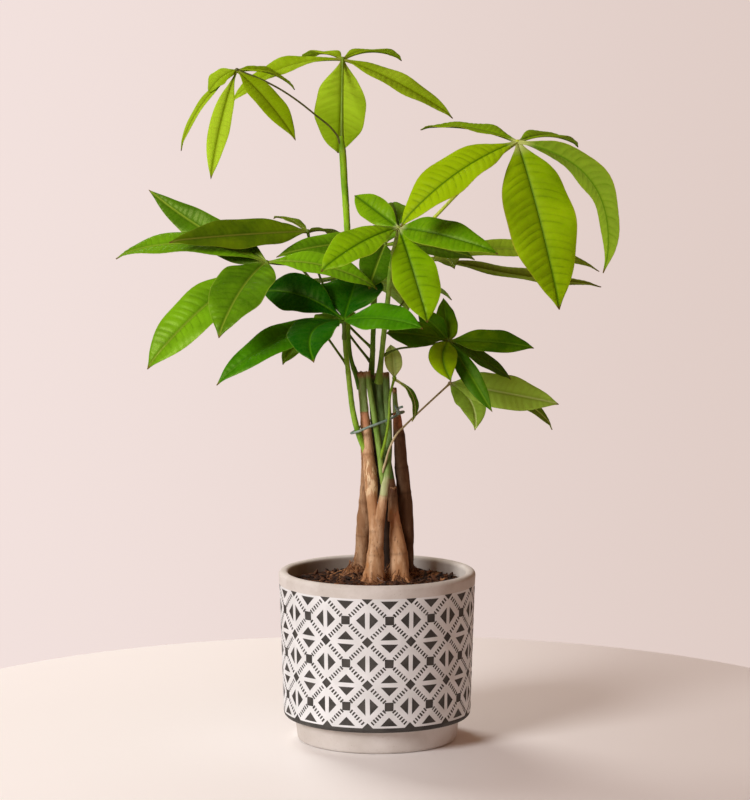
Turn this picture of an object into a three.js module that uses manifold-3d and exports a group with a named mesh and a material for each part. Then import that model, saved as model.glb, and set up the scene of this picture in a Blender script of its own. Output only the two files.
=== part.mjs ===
// Potted money tree: a cast patterned pot, soil with bark chips, five bundled trunks with green
// shoots, a wire tie, and one node for each palmate leaf (its stalk and all its leaflets).
// Millimetres, +Z up, origin at the middle of the pot's flat base. -Y is the side the photograph shows.

import * as THREE from 'three';
import { mergeVertices } from 'three/addons/utils/BufferGeometryUtils.js';
import Module from 'manifold-3d';

const wasm = await Module();
wasm.setup();

// Driving dimensions

const POT_RADIUS = 75;             // outside, at the rim
const POT_HEIGHT = 130;
const WALL = 7.5;                  // thickness of the rim
const RIM_ROUND = 3.2;             // rounding of the rim's edges
const BAND_TOP = 120.4;            // where the patterned band ends under the plain rim
const BAND_TOP_RADIUS = 74.6;
const BODY_BOTTOM = 18.1;          // underside of the body, above the foot
const BODY_BOTTOM_RADIUS = 71.3;
const BODY_CORNER = 3.5;           // rounding of the body's lower edge
const FOOT_TOP_RADIUS = 63.5;
const FOOT_BOTTOM_RADIUS = 61;
const FOOT_ROUND = 3;
const FLOOR_THICKNESS = 24;        // the foot is solid
const FLOOR_RADIUS = 60;           // inside, where the floor's fillet begins
const FLOOR_FILLET = 6;
const POT_SIDES = 48;

const GAP = 0.3;                   // between pieces that touch on the real plant
const SOIL_SIDE_GAP = 0.5;         // soil to pot wall, both of which have flat facets
const SOIL_TOP = 119.5;            // soil level at the wall
const SOIL_HEAPS = [[0, 0, 4, 34], [-17, 5, 5.5, 11], [27, 9, 3, 9]];   // x, y, height and spread
const SOIL_RINGS = 7;
const SOIL_SIDES = 36;
const CHIP_COUNT = 24;             // coarse bark chips lying in the surface
const CHIP_REACH = 60;             // largest distance of a chip from the middle
const CHIP_CLEAR = 25;             // no chip nearer the middle than this
const CHIP_SIZE = [[5, 10], [3, 6], [1.8, 3.2]];   // least and most length, width and height
const CHIP_LEAN = 0.7;             // span of a chip's random lean, radians
const CHIP_RISE = 0.4;             // a chip's middle above the soil
const CHIP_TURN = 0.381966;        // golden share of a turn from one chip to the next
const CHIP_SCATTER = 0.05;
const HOLE_BOTTOM = 72;            // how deep the trunks stand in the soil

const TRUNK_SIDES = 10;
const SHOOT_SIDES = 7;
const STALK_SIDES = 6;
const TRUNK_STEP = 15;             // length of one tube step along a trunk
const SHOOT_STEP = 18;
const STALK_STEP = 17;

const BLADE_THICKNESS = 0.8;
const BLADE_CUP = 0.13;            // rise of the blade's edge, as a share of its half width
const BLADE_WAVE = 0.035;          // waving of the edge, as a share of the leaflet's width
const WAVES = 2.6;                 // waves along a leaflet
const PHASE_STEP = 0.37;           // shift of the waves from one leaflet to the next
const KNUCKLE_RADIUS = 1.9;        // the swelling where the leaflets meet
const TIE_RADIUS = 0.95;

// Outline of a leaflet: share of its length, and half width as a share of the widest half width.
// The shares of the length are those of a leaflet that is widest at its middle.

const OUTLINE = [
  [0.00, 0.06],
  [0.08, 0.20],
  [0.23, 0.68],
  [0.40, 0.96],
  [0.60, 0.97],
  [0.79, 0.67],
  [0.92, 0.28],
  [1.00, 0.04],
];
const WIDEST = 0.5;                // where a leaflet is widest, as a share of its length

// Trunks and shoots. A point is x, y, z and the radius there. Trunks start in the soil.

const TRUNKS = [
  {
    name: 'trunk_front',
    colour: 0xa9785a,
    trunk: [
      [-2.2, -14, HOLE_BOTTOM, 7.4], [-2.2, -14, 108, 8], [-2.2, -14, 118, 8.3], [-2.2, -14, 128, 7.7],
      [-1.5, -14, 138, 6.8], [-1, -14, 150, 5.7], [-1.2, -14, 162, 4.9], [-2.4, -13.6, 172, 4.2],
      [-3.7, -12.8, 184, 4.1], [-4.3, -12, 193, 4.6], [-4.7, -11.3, 203, 4.9], [-5.7, -10.6, 212, 4.6],
      [-6.7, -10, 221, 4.2], [-7.5, -9.5, 232, 4], [-8.7, -9, 243, 3.7], [-9.9, -8.2, 254, 3.2],
      [-10.8, -7.5, 270, 3], [-11, -7, 282, 2.9],
    ],
    shoots: [
      [
        [0.2, -14.2, 142, 4.5], [0.6, -14.8, 156, 4.4], [1.9, -16.2, 170, 3.9], [3.7, -17.4, 182, 3.6],
        [5, -18, 191, 3], [6, -17.8, 199, 2.8], [7.4, -17, 208, 2.7], [8.6, -15.4, 221, 2.6],
        [8.8, -12.5, 239, 2.5], [7.6, -11, 261, 2.6], [6.6, -10, 282, 2.6],
      ],
      [
        [5, -17, 198, 1.5], [3.3, -18.2, 207, 1.7], [2.3, -18.6, 217, 1.9], [1, -18.3, 228, 2.1],
        [-0.8, -17.6, 241, 2.1], [-2.9, -16.6, 255, 2.1], [-5.4, -15, 269, 2], [-7, -13.5, 283, 2],
      ],
      [
        [-8, -9, 217, 1.3], [-10, -10.3, 225, 1.9], [-12.6, -12.3, 232, 2.2], [-15.5, -15, 241.5, 2.2],
        [-18.3, -16.2, 254, 2.1], [-20.3, -17.5, 270, 2], [-22, -18.7, 286, 1.9], [-23.7, -20.5, 300, 1.7],
        [-24.6, -23, 310, 1.5],
      ],
    ],
  },
  {
    name: 'trunk_left',
    colour: 0x94683f,
    trunk: [
      [-14, 8, HOLE_BOTTOM, 6.4], [-14, 8, 108, 7], [-13.8, 8, 118, 7.1], [-12.6, 7.6, 128, 6.4],
      [-11.4, 7, 140, 5.7], [-10.8, 6.3, 152, 5.6], [-10, 5.5, 168, 5.4], [-8.5, 4.5, 187, 4.8],
      [-8, 3.3, 210, 4.1], [-8.5, 2, 233, 3.8], [-10, 1.2, 256, 3.2], [-13.3, 0.5, 281, 2.9],
    ],
    shoots: [
      [
        [-12.6, 0.6, 269, 2], [-15.6, 0.3, 279, 2], [-18.2, -0.3, 286, 1.7], [-20.3, -1, 294.5, 1.5],
        [-21.4, -1, 305, 1.6], [-22.3, 0.5, 318, 2.1], [-22.8, 4, 338, 2.4], [-23, 10, 367, 2.4],
        [-22.6, 12, 387, 2.4],
        [-23.4, 11.3, 404, 2.5], [-24.7, 10.5, 424, 2.6], [-26.2, 9.5, 449, 2.5], [-27.2, 9, 459, 1.9],
      ],
    ],
  },
  {
    name: 'trunk_right_front',
    colour: 0xb98a63,
    trunk: [
      [16.6, -5.5, HOLE_BOTTOM, 6.6], [16.6, -5.5, 108, 7.2], [16.6, -5.5, 118, 7.6],
      [16.9, -5.5, 128, 7.5], [16.6, -5.3, 140, 7], [15.8, -5, 150, 6.1], [14.4, -4.3, 160, 4.9],
      [13.5, -3.5, 167, 4.2], [12.9, -2.8, 174, 3.8], [11.8, -1.5, 184, 3.8], [10.2, 0, 196, 3.7],
      [7.5, 2.2, 212, 3.5], [5.5, 3, 233, 3.4], [3, 2.5, 256, 3.1], [1, 1.5, 280, 2.9],
    ],
    shoots: [
      [
        [11.5, -3, 168, 3.6], [12, -4.2, 181, 3.2], [12.2, -4.8, 193.5, 2.5],
      ],
      [
        [1, 1.5, 273, 2.5], [3, -3, 291, 2], [5, -10, 311, 2], [8, -20, 338, 1.9], [10, -30, 361, 1.8],
        [12, -37, 374, 1.6],
      ],
    ],
  },
  {
    name: 'trunk_right_back',
    colour: 0x5a4130,
    trunk: [
      [23.4, 8, HOLE_BOTTOM, 6.2], [23.4, 8, 108, 6.6], [23.2, 8, 118, 6.4], [22.6, 8, 128, 5.7],
      [22.4, 8, 148, 5.6], [22, 7.5, 167, 5.9], [20.6, 7, 187, 5.6], [18.4, 6, 210, 5],
      [16.7, 4.5, 233, 4.2], [15.2, 3, 246, 3.2], [13.9, 1.5, 256, 2.1], [13.1, 0.5, 269, 1.7],
    ],
    shoots: [],
  },
  {
    name: 'trunk_back',
    colour: 0x6b4b33,
    trunk: [
      [9, 17, HOLE_BOTTOM, 6.4], [9, 17, 108, 7], [9, 17, 118, 7.2], [8.7, 16.5, 128, 6.3],
      [8, 15, 148, 5.6], [6.5, 13.8, 168, 5], [4.3, 12.3, 188, 4.5], [1.8, 11, 210, 4.1],
      [-0.5, 10, 233, 3.8], [-2.5, 9.5, 256, 3.4], [-5, 9, 279, 3],
    ],
    shoots: [
      [
        [-5, 9, 272, 2.5], [-3.5, 9, 294, 2], [-3, 9, 309, 1.9], [-2, 9, 332, 1.8], [0, 10, 351, 1.6],
        [3, 9, 364, 1.4],
      ],
    ],
  },
];

// Leaves. The stalk's points are x, y, z and radius, from inside the shoot that bears it to the hub.
// A leaflet is: heading (degrees from +X towards +Y), rise of its chord (degrees), length, width,
// arch (how far its middle stands off the chord), roll about the chord (degrees), and where they differ
// from WIDEST and 0, the place of its widest part and the turn of the blade about its midrib (degrees).

const LEAVES = [
  {
    name: 'leaf_top',
    colour: 0x8fa13a,
    bearer: 'trunk_left',
    stalk: [
      [-26.6, 10, 455, 1.4], [-26.4, 16, 487, 1], [-26, 28, 517, 0.9],
    ],
    leaflets: [
      [97, -65, 81, 39, 6, -170, 0.48],
      [-12, -27, 96, 21, 5, 32],
      [56, -1, 81, 22, 6, 0],
      [163, -21, 98, 29, 11, -30, 0.6],
      [114, -3, 79, 20, 6, 0],
    ],
  },
  {
    name: 'leaf_top_left',
    colour: 0x7f9a2c,
    bearer: 'trunk_left',
    stalk: [
      [-27, 8.8, 453, 1.1], [-30.5, 8, 460.5, 0.8], [-34.8, 7, 465.8, 0.8], [-45.6, 5, 474.8, 0.8],
      [-59.1, 3, 485.6, 0.8], [-71.2, 2, 493.8, 0.8], [-88, 1, 502.5, 0.8], [-105, 0, 509, 0.9],
    ],
    leaflets: [
      [-169, -54, 74, 9, 8, -28],
      [-108, -54, 97, 16, 9, -10, 0.58],
      [-45, -38, 81, 21, 4, 20],
      [25, -17, 50, 20, 6, 15],
      [-164, -38, 28, 20, 4, -25],
    ],
  },
  {
    name: 'leaf_upper_right',
    colour: 0x86a516,
    bearer: 'trunk_right_front',
    stalk: [
      [10, -31, 363, 1.5], [21, -38, 381, 1.4], [38, -42, 397, 1.3], [67.5, -48, 427.5, 1.2],
      [89.5, -54, 447.5, 1.1], [103, -60, 458, 1.2],
    ],
    leaflets: [
      [-50, -69, 129, 51, 8, 30, 0.46],
      [-160, -33, 110, 39, 10, -30, 0.52],
      [-18, -55, 116, 37, 31, 5, 0.5, 50],
      [142, 5, 90, 29, 5, -5],
      [53, -4, 81, 24, 6, 10],
    ],
  },
  {
    name: 'leaf_center',
    colour: 0x6f9a17,
    bearer: 'trunk_right_front',
    stalk: [
      [12, -37, 374, 1.7], [14, -44, 385, 1.5], [16, -50, 394, 1.4],
    ],
    leaflets: [
      [-61, -57, 79, 35, 5, 15, 0.57],
      [-144, -22, 76, 31, 7, -30, 0.56],
      [-28, -11, 83, 27, 6, 45, 0.42],
      [138, 27, 50, 21, 2, -50],
      [95, 16, 58, 16, 3, -5],
    ],
  },
  {
    name: 'leaf_left',
    colour: 0x4f7a1e,
    bearer: 'trunk_back',
    stalk: [
      [-3, 9, 298, 1.1], [-12, 13, 306, 1], [-24, 15, 318, 1], [-40, 9, 337, 1], [-52, 2, 354, 1],
      [-60, -8, 363, 1], [-68, -22, 365, 1], [-76, -34, 366.5, 1], [-82, -40, 368, 1.1],
    ],
    leaflets: [
      [170, 1, 116, 28, 15, -30],
      [150, 26, 117, 26, 5, -150, 0.38, -90],
      [-155, -38, 122, 36, 12, -38, 0.57],
      [-119, -36, 85, 45, 8, -10, 0.45],
      [-3, -13, 85, 25, 9, 35],
    ],
  },
  {
    name: 'leaf_left_back',
    colour: 0x4a6b1c,
    bearer: 'trunk_back',
    stalk: [
      [-4, 9, 287, 1.1], [-21, 10, 309, 0.9], [-41, 3, 348, 0.9], [-50, -7, 377, 0.9], [-52, -12, 389, 1],
    ],
    leaflets: [
      [-154, -2, 112, 30, 0, -42, 0.46],
      [112, 5, 74, 13, 3, 6],
      [68, -14, 80, 16, 7, 6],
      [178, 0, 62, 16, 3, -30],
    ],
  },
  {
    name: 'leaf_lower_left',
    colour: 0x2f6a14,
    bearer: 'trunk_front',
    stalk: [
      [-24.6, -23, 309, 1.5], [-24.8, -26.5, 317, 1.4], [-24.9, -30, 323.5, 1.4],
    ],
    leaflets: [
      [-157, -23, 111, 28, 13, -32],
      [-109, -20, 70, 37, 13, 55, 0.5, 55],
      [-36, -1, 72, 30, 5, 35, 0.48],
      [72, 42, 47, 50, 2, 0, 0.58],
      [161, 17, 68, 34, 9, -20, 0.6, 30],
    ],
  },
  {
    name: 'leaf_right',
    colour: 0x35521a,
    bearer: 'trunk_right_front',
    stalk: [
      [3.5, -4, 294, 1], [15, 0, 299, 0.8], [26, 6, 300, 0.8], [42, 8, 302, 0.8], [54.2, 5, 304.8, 0.9],
    ],
    leaflets: [
      [98, 50, 40, 17, 2, -5, 0.32],
      [168, 42, 32, 17, 3, -65],
      [-157, 9, 52, 23, 4, -60, 0.62],
      [-88, -37, 44, 22, 6, 60, 0.48, 60],
      [-43, -49, 67, 15, 3, 55],
      [28, -30, 64, 15, 2, 55],
      [-5, -4, 65, 21, 3, 50],
    ],
  },
  {
    name: 'leaf_lower_right',
    colour: 0x6d8a34,
    bearer: 'trunk_front',
    stalk: [
      [3.2, -18.3, 206, 0.95], [6.2, -20.3, 215, 0.9], [8.6, -21, 224, 0.85], [13.9, -20.5, 235.5, 0.8],
      [20.3, -12, 241.5, 0.8], [29, 3, 248, 0.8], [56, 35, 269, 0.8],
    ],
    leaflets: [
      [-38, -55, 42, 24, 7, -30, 0.4, -60],
      [3, -11, 86, 29, 3, 62, 0.45],
      [26, -24, 100, 18, 14, 50],
    ],
  },
  {
    name: 'leaf_young',
    colour: 0x8aa045,
    bearer: 'trunk_front',
    stalk: [
      [2, -18, 216, 1.3], [4.4, -20.5, 225, 1.2], [6.5, -22, 234, 1.1], [8.6, -22.4, 247, 1],
      [9.8, -18, 266, 0.95], [13, -9, 278, 0.9],
    ],
    leaflets: [
      [97, 47, 32, 13.5, 2, 0, 0.46],
      [-8, -67, 36, 11, 8, 20, 0.62],
    ],
  },
  {
    name: 'leaf_right_back',
    colour: 0x4d5f1c,
    bearer: 'trunk_right_front',
    stalk: [
      [5.5, -12, 315, 1.1], [19, 8, 333, 0.9], [33, 32, 350, 0.9], [45, 55, 364, 0.9],
    ],
    leaflets: [
      [2, -4.4, 128, 18, 15, 40, 0.42],
      [17, -10, 139, 25, -3, 20],
      [-75, -4, 52, 20, 3, 10],
      [71, 1, 90, 26, 6, 0],
    ],
  },
  {
    name: 'leaf_center_back',
    colour: 0x3f7a1a,
    bearer: 'trunk_back',
    stalk: [
      [3, 9, 364, 1.4], [5, 7.5, 371, 1.3], [6, 6, 378, 1.2],
    ],
    leaflets: [
      [-156, -4, 89, 22, 5, -40],
      [-112, -44, 45, 28, 5, -20],
      [-3, -9, 69, 24, 5, 35],
      [82, 4, 81, 28, 6, 0],
    ],
  },
  {
    name: 'leaf_inner_left',
    colour: 0x577f20,
    bearer: 'trunk_front',
    stalk: [
      [-22, -18.5, 288, 1.1], [-30, -8, 298, 0.9], [-35, 2, 304, 0.9], [-40, 10, 310, 0.9],
    ],
    leaflets: [
      [-148, -30, 43, 24, 6, -15],
      [112, -10, 70, 28, 6, 0],
      [81, 2, 96, 30, 6, 0],
    ],
  },
  {
    name: 'leaf_back',
    colour: 0x4a7a1c,
    bearer: 'trunk_back',
    stalk: [
      [-2.5, 9, 320, 1.2], [-4, 24, 332, 1], [-6, 42, 342, 1], [-8, 56, 348, 1],
    ],
    leaflets: [
      [25, -14, 76, 28, 6, 0],
      [68, -20, 94, 34, 8, 0, 0.52],
      [110, -22, 98, 34, 8, 0, 0.52],
      [152, -14, 78, 28, 6, 0],
    ],
  },
];

// Wire round the stems: left half and right half from the twist to the far side, then the two tails

const TIE_LEFT = [
  [15.5, -9, 250.4], [12.5, -14.5, 249], [8, -18, 247.3], [3, -19.8, 245.6], [-3, -20.8, 243.5],
  [-9, -19.8, 241], [-14.5, -18.7, 238.5], [-19, -15.9, 237], [-18.8, -9, 236.5], [-16, -2, 237.5],
  [-13.5, 4, 239], [-8, 11, 241.5], [-3, 14.8, 244],
];
const TIE_RIGHT = [
  [15.5, -9, 250.4], [19, -3.5, 251], [20.2, 1.5, 251], [19, 6.5, 250.5], [15, 10.3, 249], [8, 13.2, 247],
  [2, 15, 245.5], [-3, 14.8, 244],
];
const TIE_TAIL_A = [[15.5, -9, 250.4], [15.2, -11, 253], [16.4, -12.4, 255.6], [19.2, -13, 256.7]];
const TIE_TAIL_B = [[15.5, -9, 250.4], [16.6, -11.6, 252.2], [15.2, -13.4, 254.2], [13.6, -13.6, 257.4]];
const TIE_STEP = 5.5;              // length of one straight piece of the wire
const TIE_CURVE = 3;               // segments that round the wire's section
const KNOT = 1.5;                  // the twist's radius, in radii of the wire
const FAR_JOINT = 1.15;            // the same where both halves meet at the back

// Solids

function solidOf(geometry) {
  const bare = geometry.clone();
  bare.deleteAttribute('normal');
  bare.deleteAttribute('uv');
  const merged = mergeVertices(bare, 1e-4);
  return new wasm.Manifold(new wasm.Mesh({
    numProp: 3,
    vertProperties: new Float32Array(merged.attributes.position.array),
    triVerts: new Uint32Array(merged.index.array),
  }));
}

function geometryOf(solid) {
  const mesh = solid.getMesh();
  const geometry = new THREE.BufferGeometry();
  geometry.setAttribute('position', new THREE.BufferAttribute(new Float32Array(mesh.vertProperties), 3));
  geometry.setIndex(new THREE.BufferAttribute(new Uint32Array(mesh.triVerts), 1));
  return geometry;
}

function largestBody(solid) {
  const bodies = solid.decompose();
  bodies.sort((a, b) => b.volume() - a.volume());
  return bodies[0];
}

// Rings of points, joined one to the next and closed with a fan at both ends

function loft(rings) {
  const sides = rings[0].length;
  const positions = rings.flat().flatMap((p) => [p.x, p.y, p.z]);
  const index = [];
  for (let ring = 0; ring + 1 < rings.length; ring++) {
    for (let k = 0; k < sides; k++) {
      const a = ring * sides + k;
      const b = ring * sides + (k + 1) % sides;
      index.push(a, b, b + sides);
      index.push(a, b + sides, a + sides);
    }
  }
  const last = (rings.length - 1) * sides;
  for (let k = 1; k + 1 < sides; k++) {
    index.push(0, k + 1, k);
    index.push(last, last + k, last + k + 1);
  }
  const geometry = new THREE.BufferGeometry();
  geometry.setAttribute('position', new THREE.Float32BufferAttribute(positions, 3));
  geometry.setIndex(index);
  return geometry;
}

// A round stem through points of x, y, z and radius, grown all over by a clearance

function stem(points, sides, step, clearance = 0) {
  const path = new THREE.CatmullRomCurve3(points.map(([x, y, z]) => new THREE.Vector3(x, y, z)));
  const sizes = points.map((p) => new THREE.Vector3(p[3], 0, 0));
  const radii = new THREE.CatmullRomCurve3(sizes, false, 'catmullrom');
  const count = Math.max(2, Math.round(path.getLength() / step));
  const frames = path.computeFrenetFrames(count, false);
  const rings = [];
  for (let i = 0; i <= count; i++) {
    const t = path.getUtoTmapping(i / count);
    const radius = radii.getPoint(t).x + clearance;
    const centre = path.getPoint(t);
    if (i === 0) centre.addScaledVector(frames.tangents[0], -clearance);
    if (i === count) centre.addScaledVector(frames.tangents[count], clearance);
    const ring = [];
    for (let k = 0; k < sides; k++) {
      const angle = 2 * Math.PI * k / sides;
      const point = centre.clone();
      point.addScaledVector(frames.normals[i], radius * Math.cos(angle));
      point.addScaledVector(frames.binormals[i], radius * Math.sin(angle));
      ring.push(point);
    }
    rings.push(ring);
  }
  return solidOf(loft(rings));
}

// Pot

function arc(cx, cz, radius, from, to, steps) {
  const points = [];
  for (let i = 0; i <= steps; i++) {
    const angle = THREE.MathUtils.degToRad(from + (to - from) * i / steps);
    points.push(new THREE.Vector2(cx + radius * Math.cos(angle), cz + radius * Math.sin(angle)));
  }
  return points;
}

function potGeometry() {
  const inner = POT_RADIUS - WALL;
  const profile = [
    new THREE.Vector2(0, 0),
    ...arc(FOOT_BOTTOM_RADIUS - FOOT_ROUND, FOOT_ROUND, FOOT_ROUND, -90, 0, 2),
    new THREE.Vector2(FOOT_TOP_RADIUS, BODY_BOTTOM),
    ...arc(BODY_BOTTOM_RADIUS - BODY_CORNER, BODY_BOTTOM + BODY_CORNER, BODY_CORNER, -90, 0, 2),
    new THREE.Vector2(BAND_TOP_RADIUS, BAND_TOP),
    ...arc(POT_RADIUS - RIM_ROUND, POT_HEIGHT - RIM_ROUND, RIM_ROUND, 0, 90, 2),
    ...arc(inner + RIM_ROUND, POT_HEIGHT - RIM_ROUND, RIM_ROUND, 90, 180, 2),
    ...arc(FLOOR_RADIUS, FLOOR_THICKNESS + FLOOR_FILLET, FLOOR_FILLET, 0, -90, 1),
    new THREE.Vector2(0, FLOOR_THICKNESS),
  ];
  return new THREE.LatheGeometry(profile, POT_SIDES);
}

// Soil

function random(seed) {
  let state = seed;
  return () => {
    state = (state * 1664525 + 1013904223) % 4294967296;
    return state / 4294967296;
  };
}

function soilHeight(x, y) {
  let height = SOIL_TOP + 0.7 * Math.sin(x / 6.1 + 1.3) * Math.cos(y / 7.3) + 0.5 * Math.sin((x - y) / 4.3);
  for (const [centreX, centreY, rise, spread] of SOIL_HEAPS) {
    height += rise * Math.exp(-((x - centreX) ** 2 + (y - centreY) ** 2) / spread ** 2);
  }
  return height;
}

function cavityRadius(z) {
  const top = POT_HEIGHT - RIM_ROUND;
  const bottom = FLOOR_THICKNESS + FLOOR_FILLET;
  const slope = (POT_RADIUS - WALL - FLOOR_RADIUS - FLOOR_FILLET) / (top - bottom);
  return FLOOR_RADIUS + FLOOR_FILLET + slope * (z - bottom);
}

function soilBody() {
  const reach = cavityRadius(SOIL_TOP) - SOIL_SIDE_GAP;
  const profile = [
    new THREE.Vector2(0, FLOOR_THICKNESS + GAP),
    new THREE.Vector2(FLOOR_RADIUS - GAP, FLOOR_THICKNESS + GAP),
    new THREE.Vector2(FLOOR_RADIUS + FLOOR_FILLET - SOIL_SIDE_GAP, FLOOR_THICKNESS + FLOOR_FILLET),
    new THREE.Vector2(reach, SOIL_TOP),
  ];
  for (let ring = SOIL_RINGS - 1; ring >= 0; ring--) {
    profile.push(new THREE.Vector2(reach * ring / SOIL_RINGS, SOIL_TOP));
  }
  const geometry = new THREE.LatheGeometry(profile, SOIL_SIDES);
  const position = geometry.attributes.position;
  for (let i = 0; i < position.count; i++) {
    if (position.getY(i) < SOIL_TOP - 1e-3) continue;
    position.setY(i, soilHeight(position.getX(i), -position.getZ(i)));
  }
  geometry.rotateX(Math.PI / 2);
  return solidOf(geometry);
}

function chips() {
  const draw = random(20);
  const placed = [];
  for (let i = 0; i < CHIP_COUNT; i++) {
    const angle = 2 * Math.PI * (i * CHIP_TURN + CHIP_SCATTER * draw());
    const reach = CHIP_CLEAR + (CHIP_REACH - CHIP_CLEAR) * Math.sqrt((i + 0.5) / CHIP_COUNT);
    const x = reach * Math.cos(angle);
    const y = reach * Math.sin(angle);
    const [length, width, height] = CHIP_SIZE.map(([least, most]) => least + (most - least) * draw());
    const chip = new THREE.BoxGeometry(length, width, height);
    chip.rotateX(CHIP_LEAN * (draw() - 0.5));
    chip.rotateY(CHIP_LEAN * (draw() - 0.5));
    chip.rotateZ(2 * Math.PI * draw());
    chip.translate(x, y, soilHeight(x, y) + CHIP_RISE);
    placed.push(solidOf(chip));
  }
  return placed;
}

function soilGeometry() {
  let soil = soilBody();
  for (const chip of chips()) soil = soil.add(chip);
  for (const { trunk } of TRUNKS) {
    soil = soil.subtract(stem(trunk, TRUNK_SIDES, TRUNK_STEP, GAP));
  }
  return geometryOf(largestBody(soil));
}

// Trunks

function trunkSolid({ trunk, shoots }, clearance = 0) {
  let solid = stem(trunk, TRUNK_SIDES, TRUNK_STEP, clearance);
  for (const shoot of shoots) solid = solid.add(stem(shoot, SHOOT_SIDES, SHOOT_STEP, clearance));
  return solid;
}

// Leaves

function leafletFrame([heading, rise, length, , , roll]) {
  const h = THREE.MathUtils.degToRad(heading);
  const r = THREE.MathUtils.degToRad(rise);
  const chord = new THREE.Vector3(Math.cos(r) * Math.cos(h), Math.cos(r) * Math.sin(h), Math.sin(r));
  const up = new THREE.Vector3(0, 0, 1).addScaledVector(chord, -chord.z).normalize();
  up.applyAxisAngle(chord, THREE.MathUtils.degToRad(roll));
  const side = new THREE.Vector3().crossVectors(chord, up);
  return { chord: chord.multiplyScalar(length), up, side };
}

// A thin arched blade: left edge, midrib and right edge at each station, alike above and below

function blade(hub, leaflet, phase) {
  const [, , , width, arch, , widest = WIDEST, turn = 0] = leaflet;
  const { chord, up, side } = leafletFrame(leaflet);
  const bias = Math.log(widest) / Math.log(WIDEST);
  const tilt = THREE.MathUtils.degToRad(turn);
  const tip = hub.clone().add(chord);
  const bend = hub.clone().addScaledVector(chord, 0.5).addScaledVector(up, 2 * arch);
  const rib = new THREE.QuadraticBezierCurve3(hub, bend, tip);
  const positions = [];
  for (const [place, share] of OUTLINE) {
    const t = place ** bias;
    const tangent = rib.getTangent(t);
    const across = side.clone().applyAxisAngle(tangent, -tilt);
    const normal = new THREE.Vector3().crossVectors(across, tangent);
    const half = share * width / 2;
    for (const edge of [-1, 0, 1]) {
      const wave = BLADE_WAVE * width * share * Math.sin(2 * Math.PI * (WAVES * t + phase) + edge);
      const lift = edge === 0 ? 0 : BLADE_CUP * half + wave;
      const point = rib.getPoint(t).addScaledVector(across, edge * half).addScaledVector(normal, lift);
      for (const face of [1, -1]) {
        const corner = point.clone().addScaledVector(normal, face * BLADE_THICKNESS / 2);
        positions.push(corner.x, corner.y, corner.z);
      }
    }
  }
  const at = (station, across, face) => 6 * station + 2 * across + face;
  const index = [];
  const last = OUTLINE.length - 1;
  for (let i = 0; i < last; i++) {
    for (let j = 0; j < 2; j++) {
      index.push(at(i, j, 0), at(i, j + 1, 0), at(i + 1, j + 1, 0));
      index.push(at(i, j, 0), at(i + 1, j + 1, 0), at(i + 1, j, 0));
      index.push(at(i, j, 1), at(i + 1, j + 1, 1), at(i, j + 1, 1));
      index.push(at(i, j, 1), at(i + 1, j, 1), at(i + 1, j + 1, 1));
    }
    index.push(at(i, 0, 0), at(i + 1, 0, 0), at(i + 1, 0, 1));
    index.push(at(i, 0, 0), at(i + 1, 0, 1), at(i, 0, 1));
    index.push(at(i, 2, 0), at(i + 1, 2, 1), at(i + 1, 2, 0));
    index.push(at(i, 2, 0), at(i, 2, 1), at(i + 1, 2, 1));
  }
  for (let j = 0; j < 2; j++) {
    index.push(at(0, j, 0), at(0, j, 1), at(0, j + 1, 1));
    index.push(at(0, j, 0), at(0, j + 1, 1), at(0, j + 1, 0));
    index.push(at(last, j, 0), at(last, j + 1, 1), at(last, j, 1));
    index.push(at(last, j, 0), at(last, j + 1, 0), at(last, j + 1, 1));
  }
  const geometry = new THREE.BufferGeometry();
  geometry.setAttribute('position', new THREE.Float32BufferAttribute(positions, 3));
  geometry.setIndex(index);
  return solidOf(geometry);
}

function leafGeometry({ stalk, leaflets, bearer }) {
  const [x, y, z] = stalk[stalk.length - 1];
  const hub = new THREE.Vector3(x, y, z);
  const knuckle = new THREE.IcosahedronGeometry(KNUCKLE_RADIUS, 0);
  knuckle.translate(x, y, z);
  let leaf = stem(stalk, STALK_SIDES, STALK_STEP).add(solidOf(knuckle));
  leaflets.forEach((leaflet, i) => {
    leaf = leaf.add(blade(hub, leaflet, PHASE_STEP * i + x / 100));
  });
  const carrier = TRUNKS.find(({ name }) => name === bearer);
  return geometryOf(largestBody(leaf.subtract(trunkSolid(carrier, GAP))));
}

// Tie

function wire(points) {
  const section = new THREE.Shape().absarc(0, 0, TIE_RADIUS, 0, 2 * Math.PI);
  const path = new THREE.CatmullRomCurve3(points.map((p) => new THREE.Vector3(...p)));
  const steps = Math.round(path.getLength() / TIE_STEP);
  return solidOf(new THREE.ExtrudeGeometry(section, {
    steps, curveSegments: TIE_CURVE, bevelEnabled: false, extrudePath: path,
  }));
}

function tieGeometry() {
  const knot = new THREE.IcosahedronGeometry(KNOT * TIE_RADIUS, 0);
  knot.translate(...TIE_LEFT[0]);
  const far = new THREE.IcosahedronGeometry(FAR_JOINT * TIE_RADIUS, 0);
  far.translate(...TIE_RIGHT[TIE_RIGHT.length - 1]);
  let tie = solidOf(knot).add(solidOf(far));
  for (const points of [TIE_LEFT, TIE_RIGHT, TIE_TAIL_A, TIE_TAIL_B]) tie = tie.add(wire(points));
  return geometryOf(largestBody(tie));
}

// The assembly

const plant = new THREE.Group();

function place(name, geometry, color, roughness) {
  const mesh = new THREE.Mesh(geometry, new THREE.MeshStandardMaterial({ color, roughness, metalness: 0 }));
  mesh.name = name;
  plant.add(mesh);
}

const pot = potGeometry();
pot.rotateX(Math.PI / 2);
place('pot', pot, 0xd9d2ca, 0.85);
place('soil', soilGeometry(), 0x3a2417, 0.95);
for (const trunk of TRUNKS) place(trunk.name, geometryOf(largestBody(trunkSolid(trunk))), trunk.colour, 0.8);
place('tie', tieGeometry(), 0x6f7d74, 0.6);
for (const leaf of LEAVES) place(leaf.name, leafGeometry(leaf), leaf.colour, 0.45);

export default plant;
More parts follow.
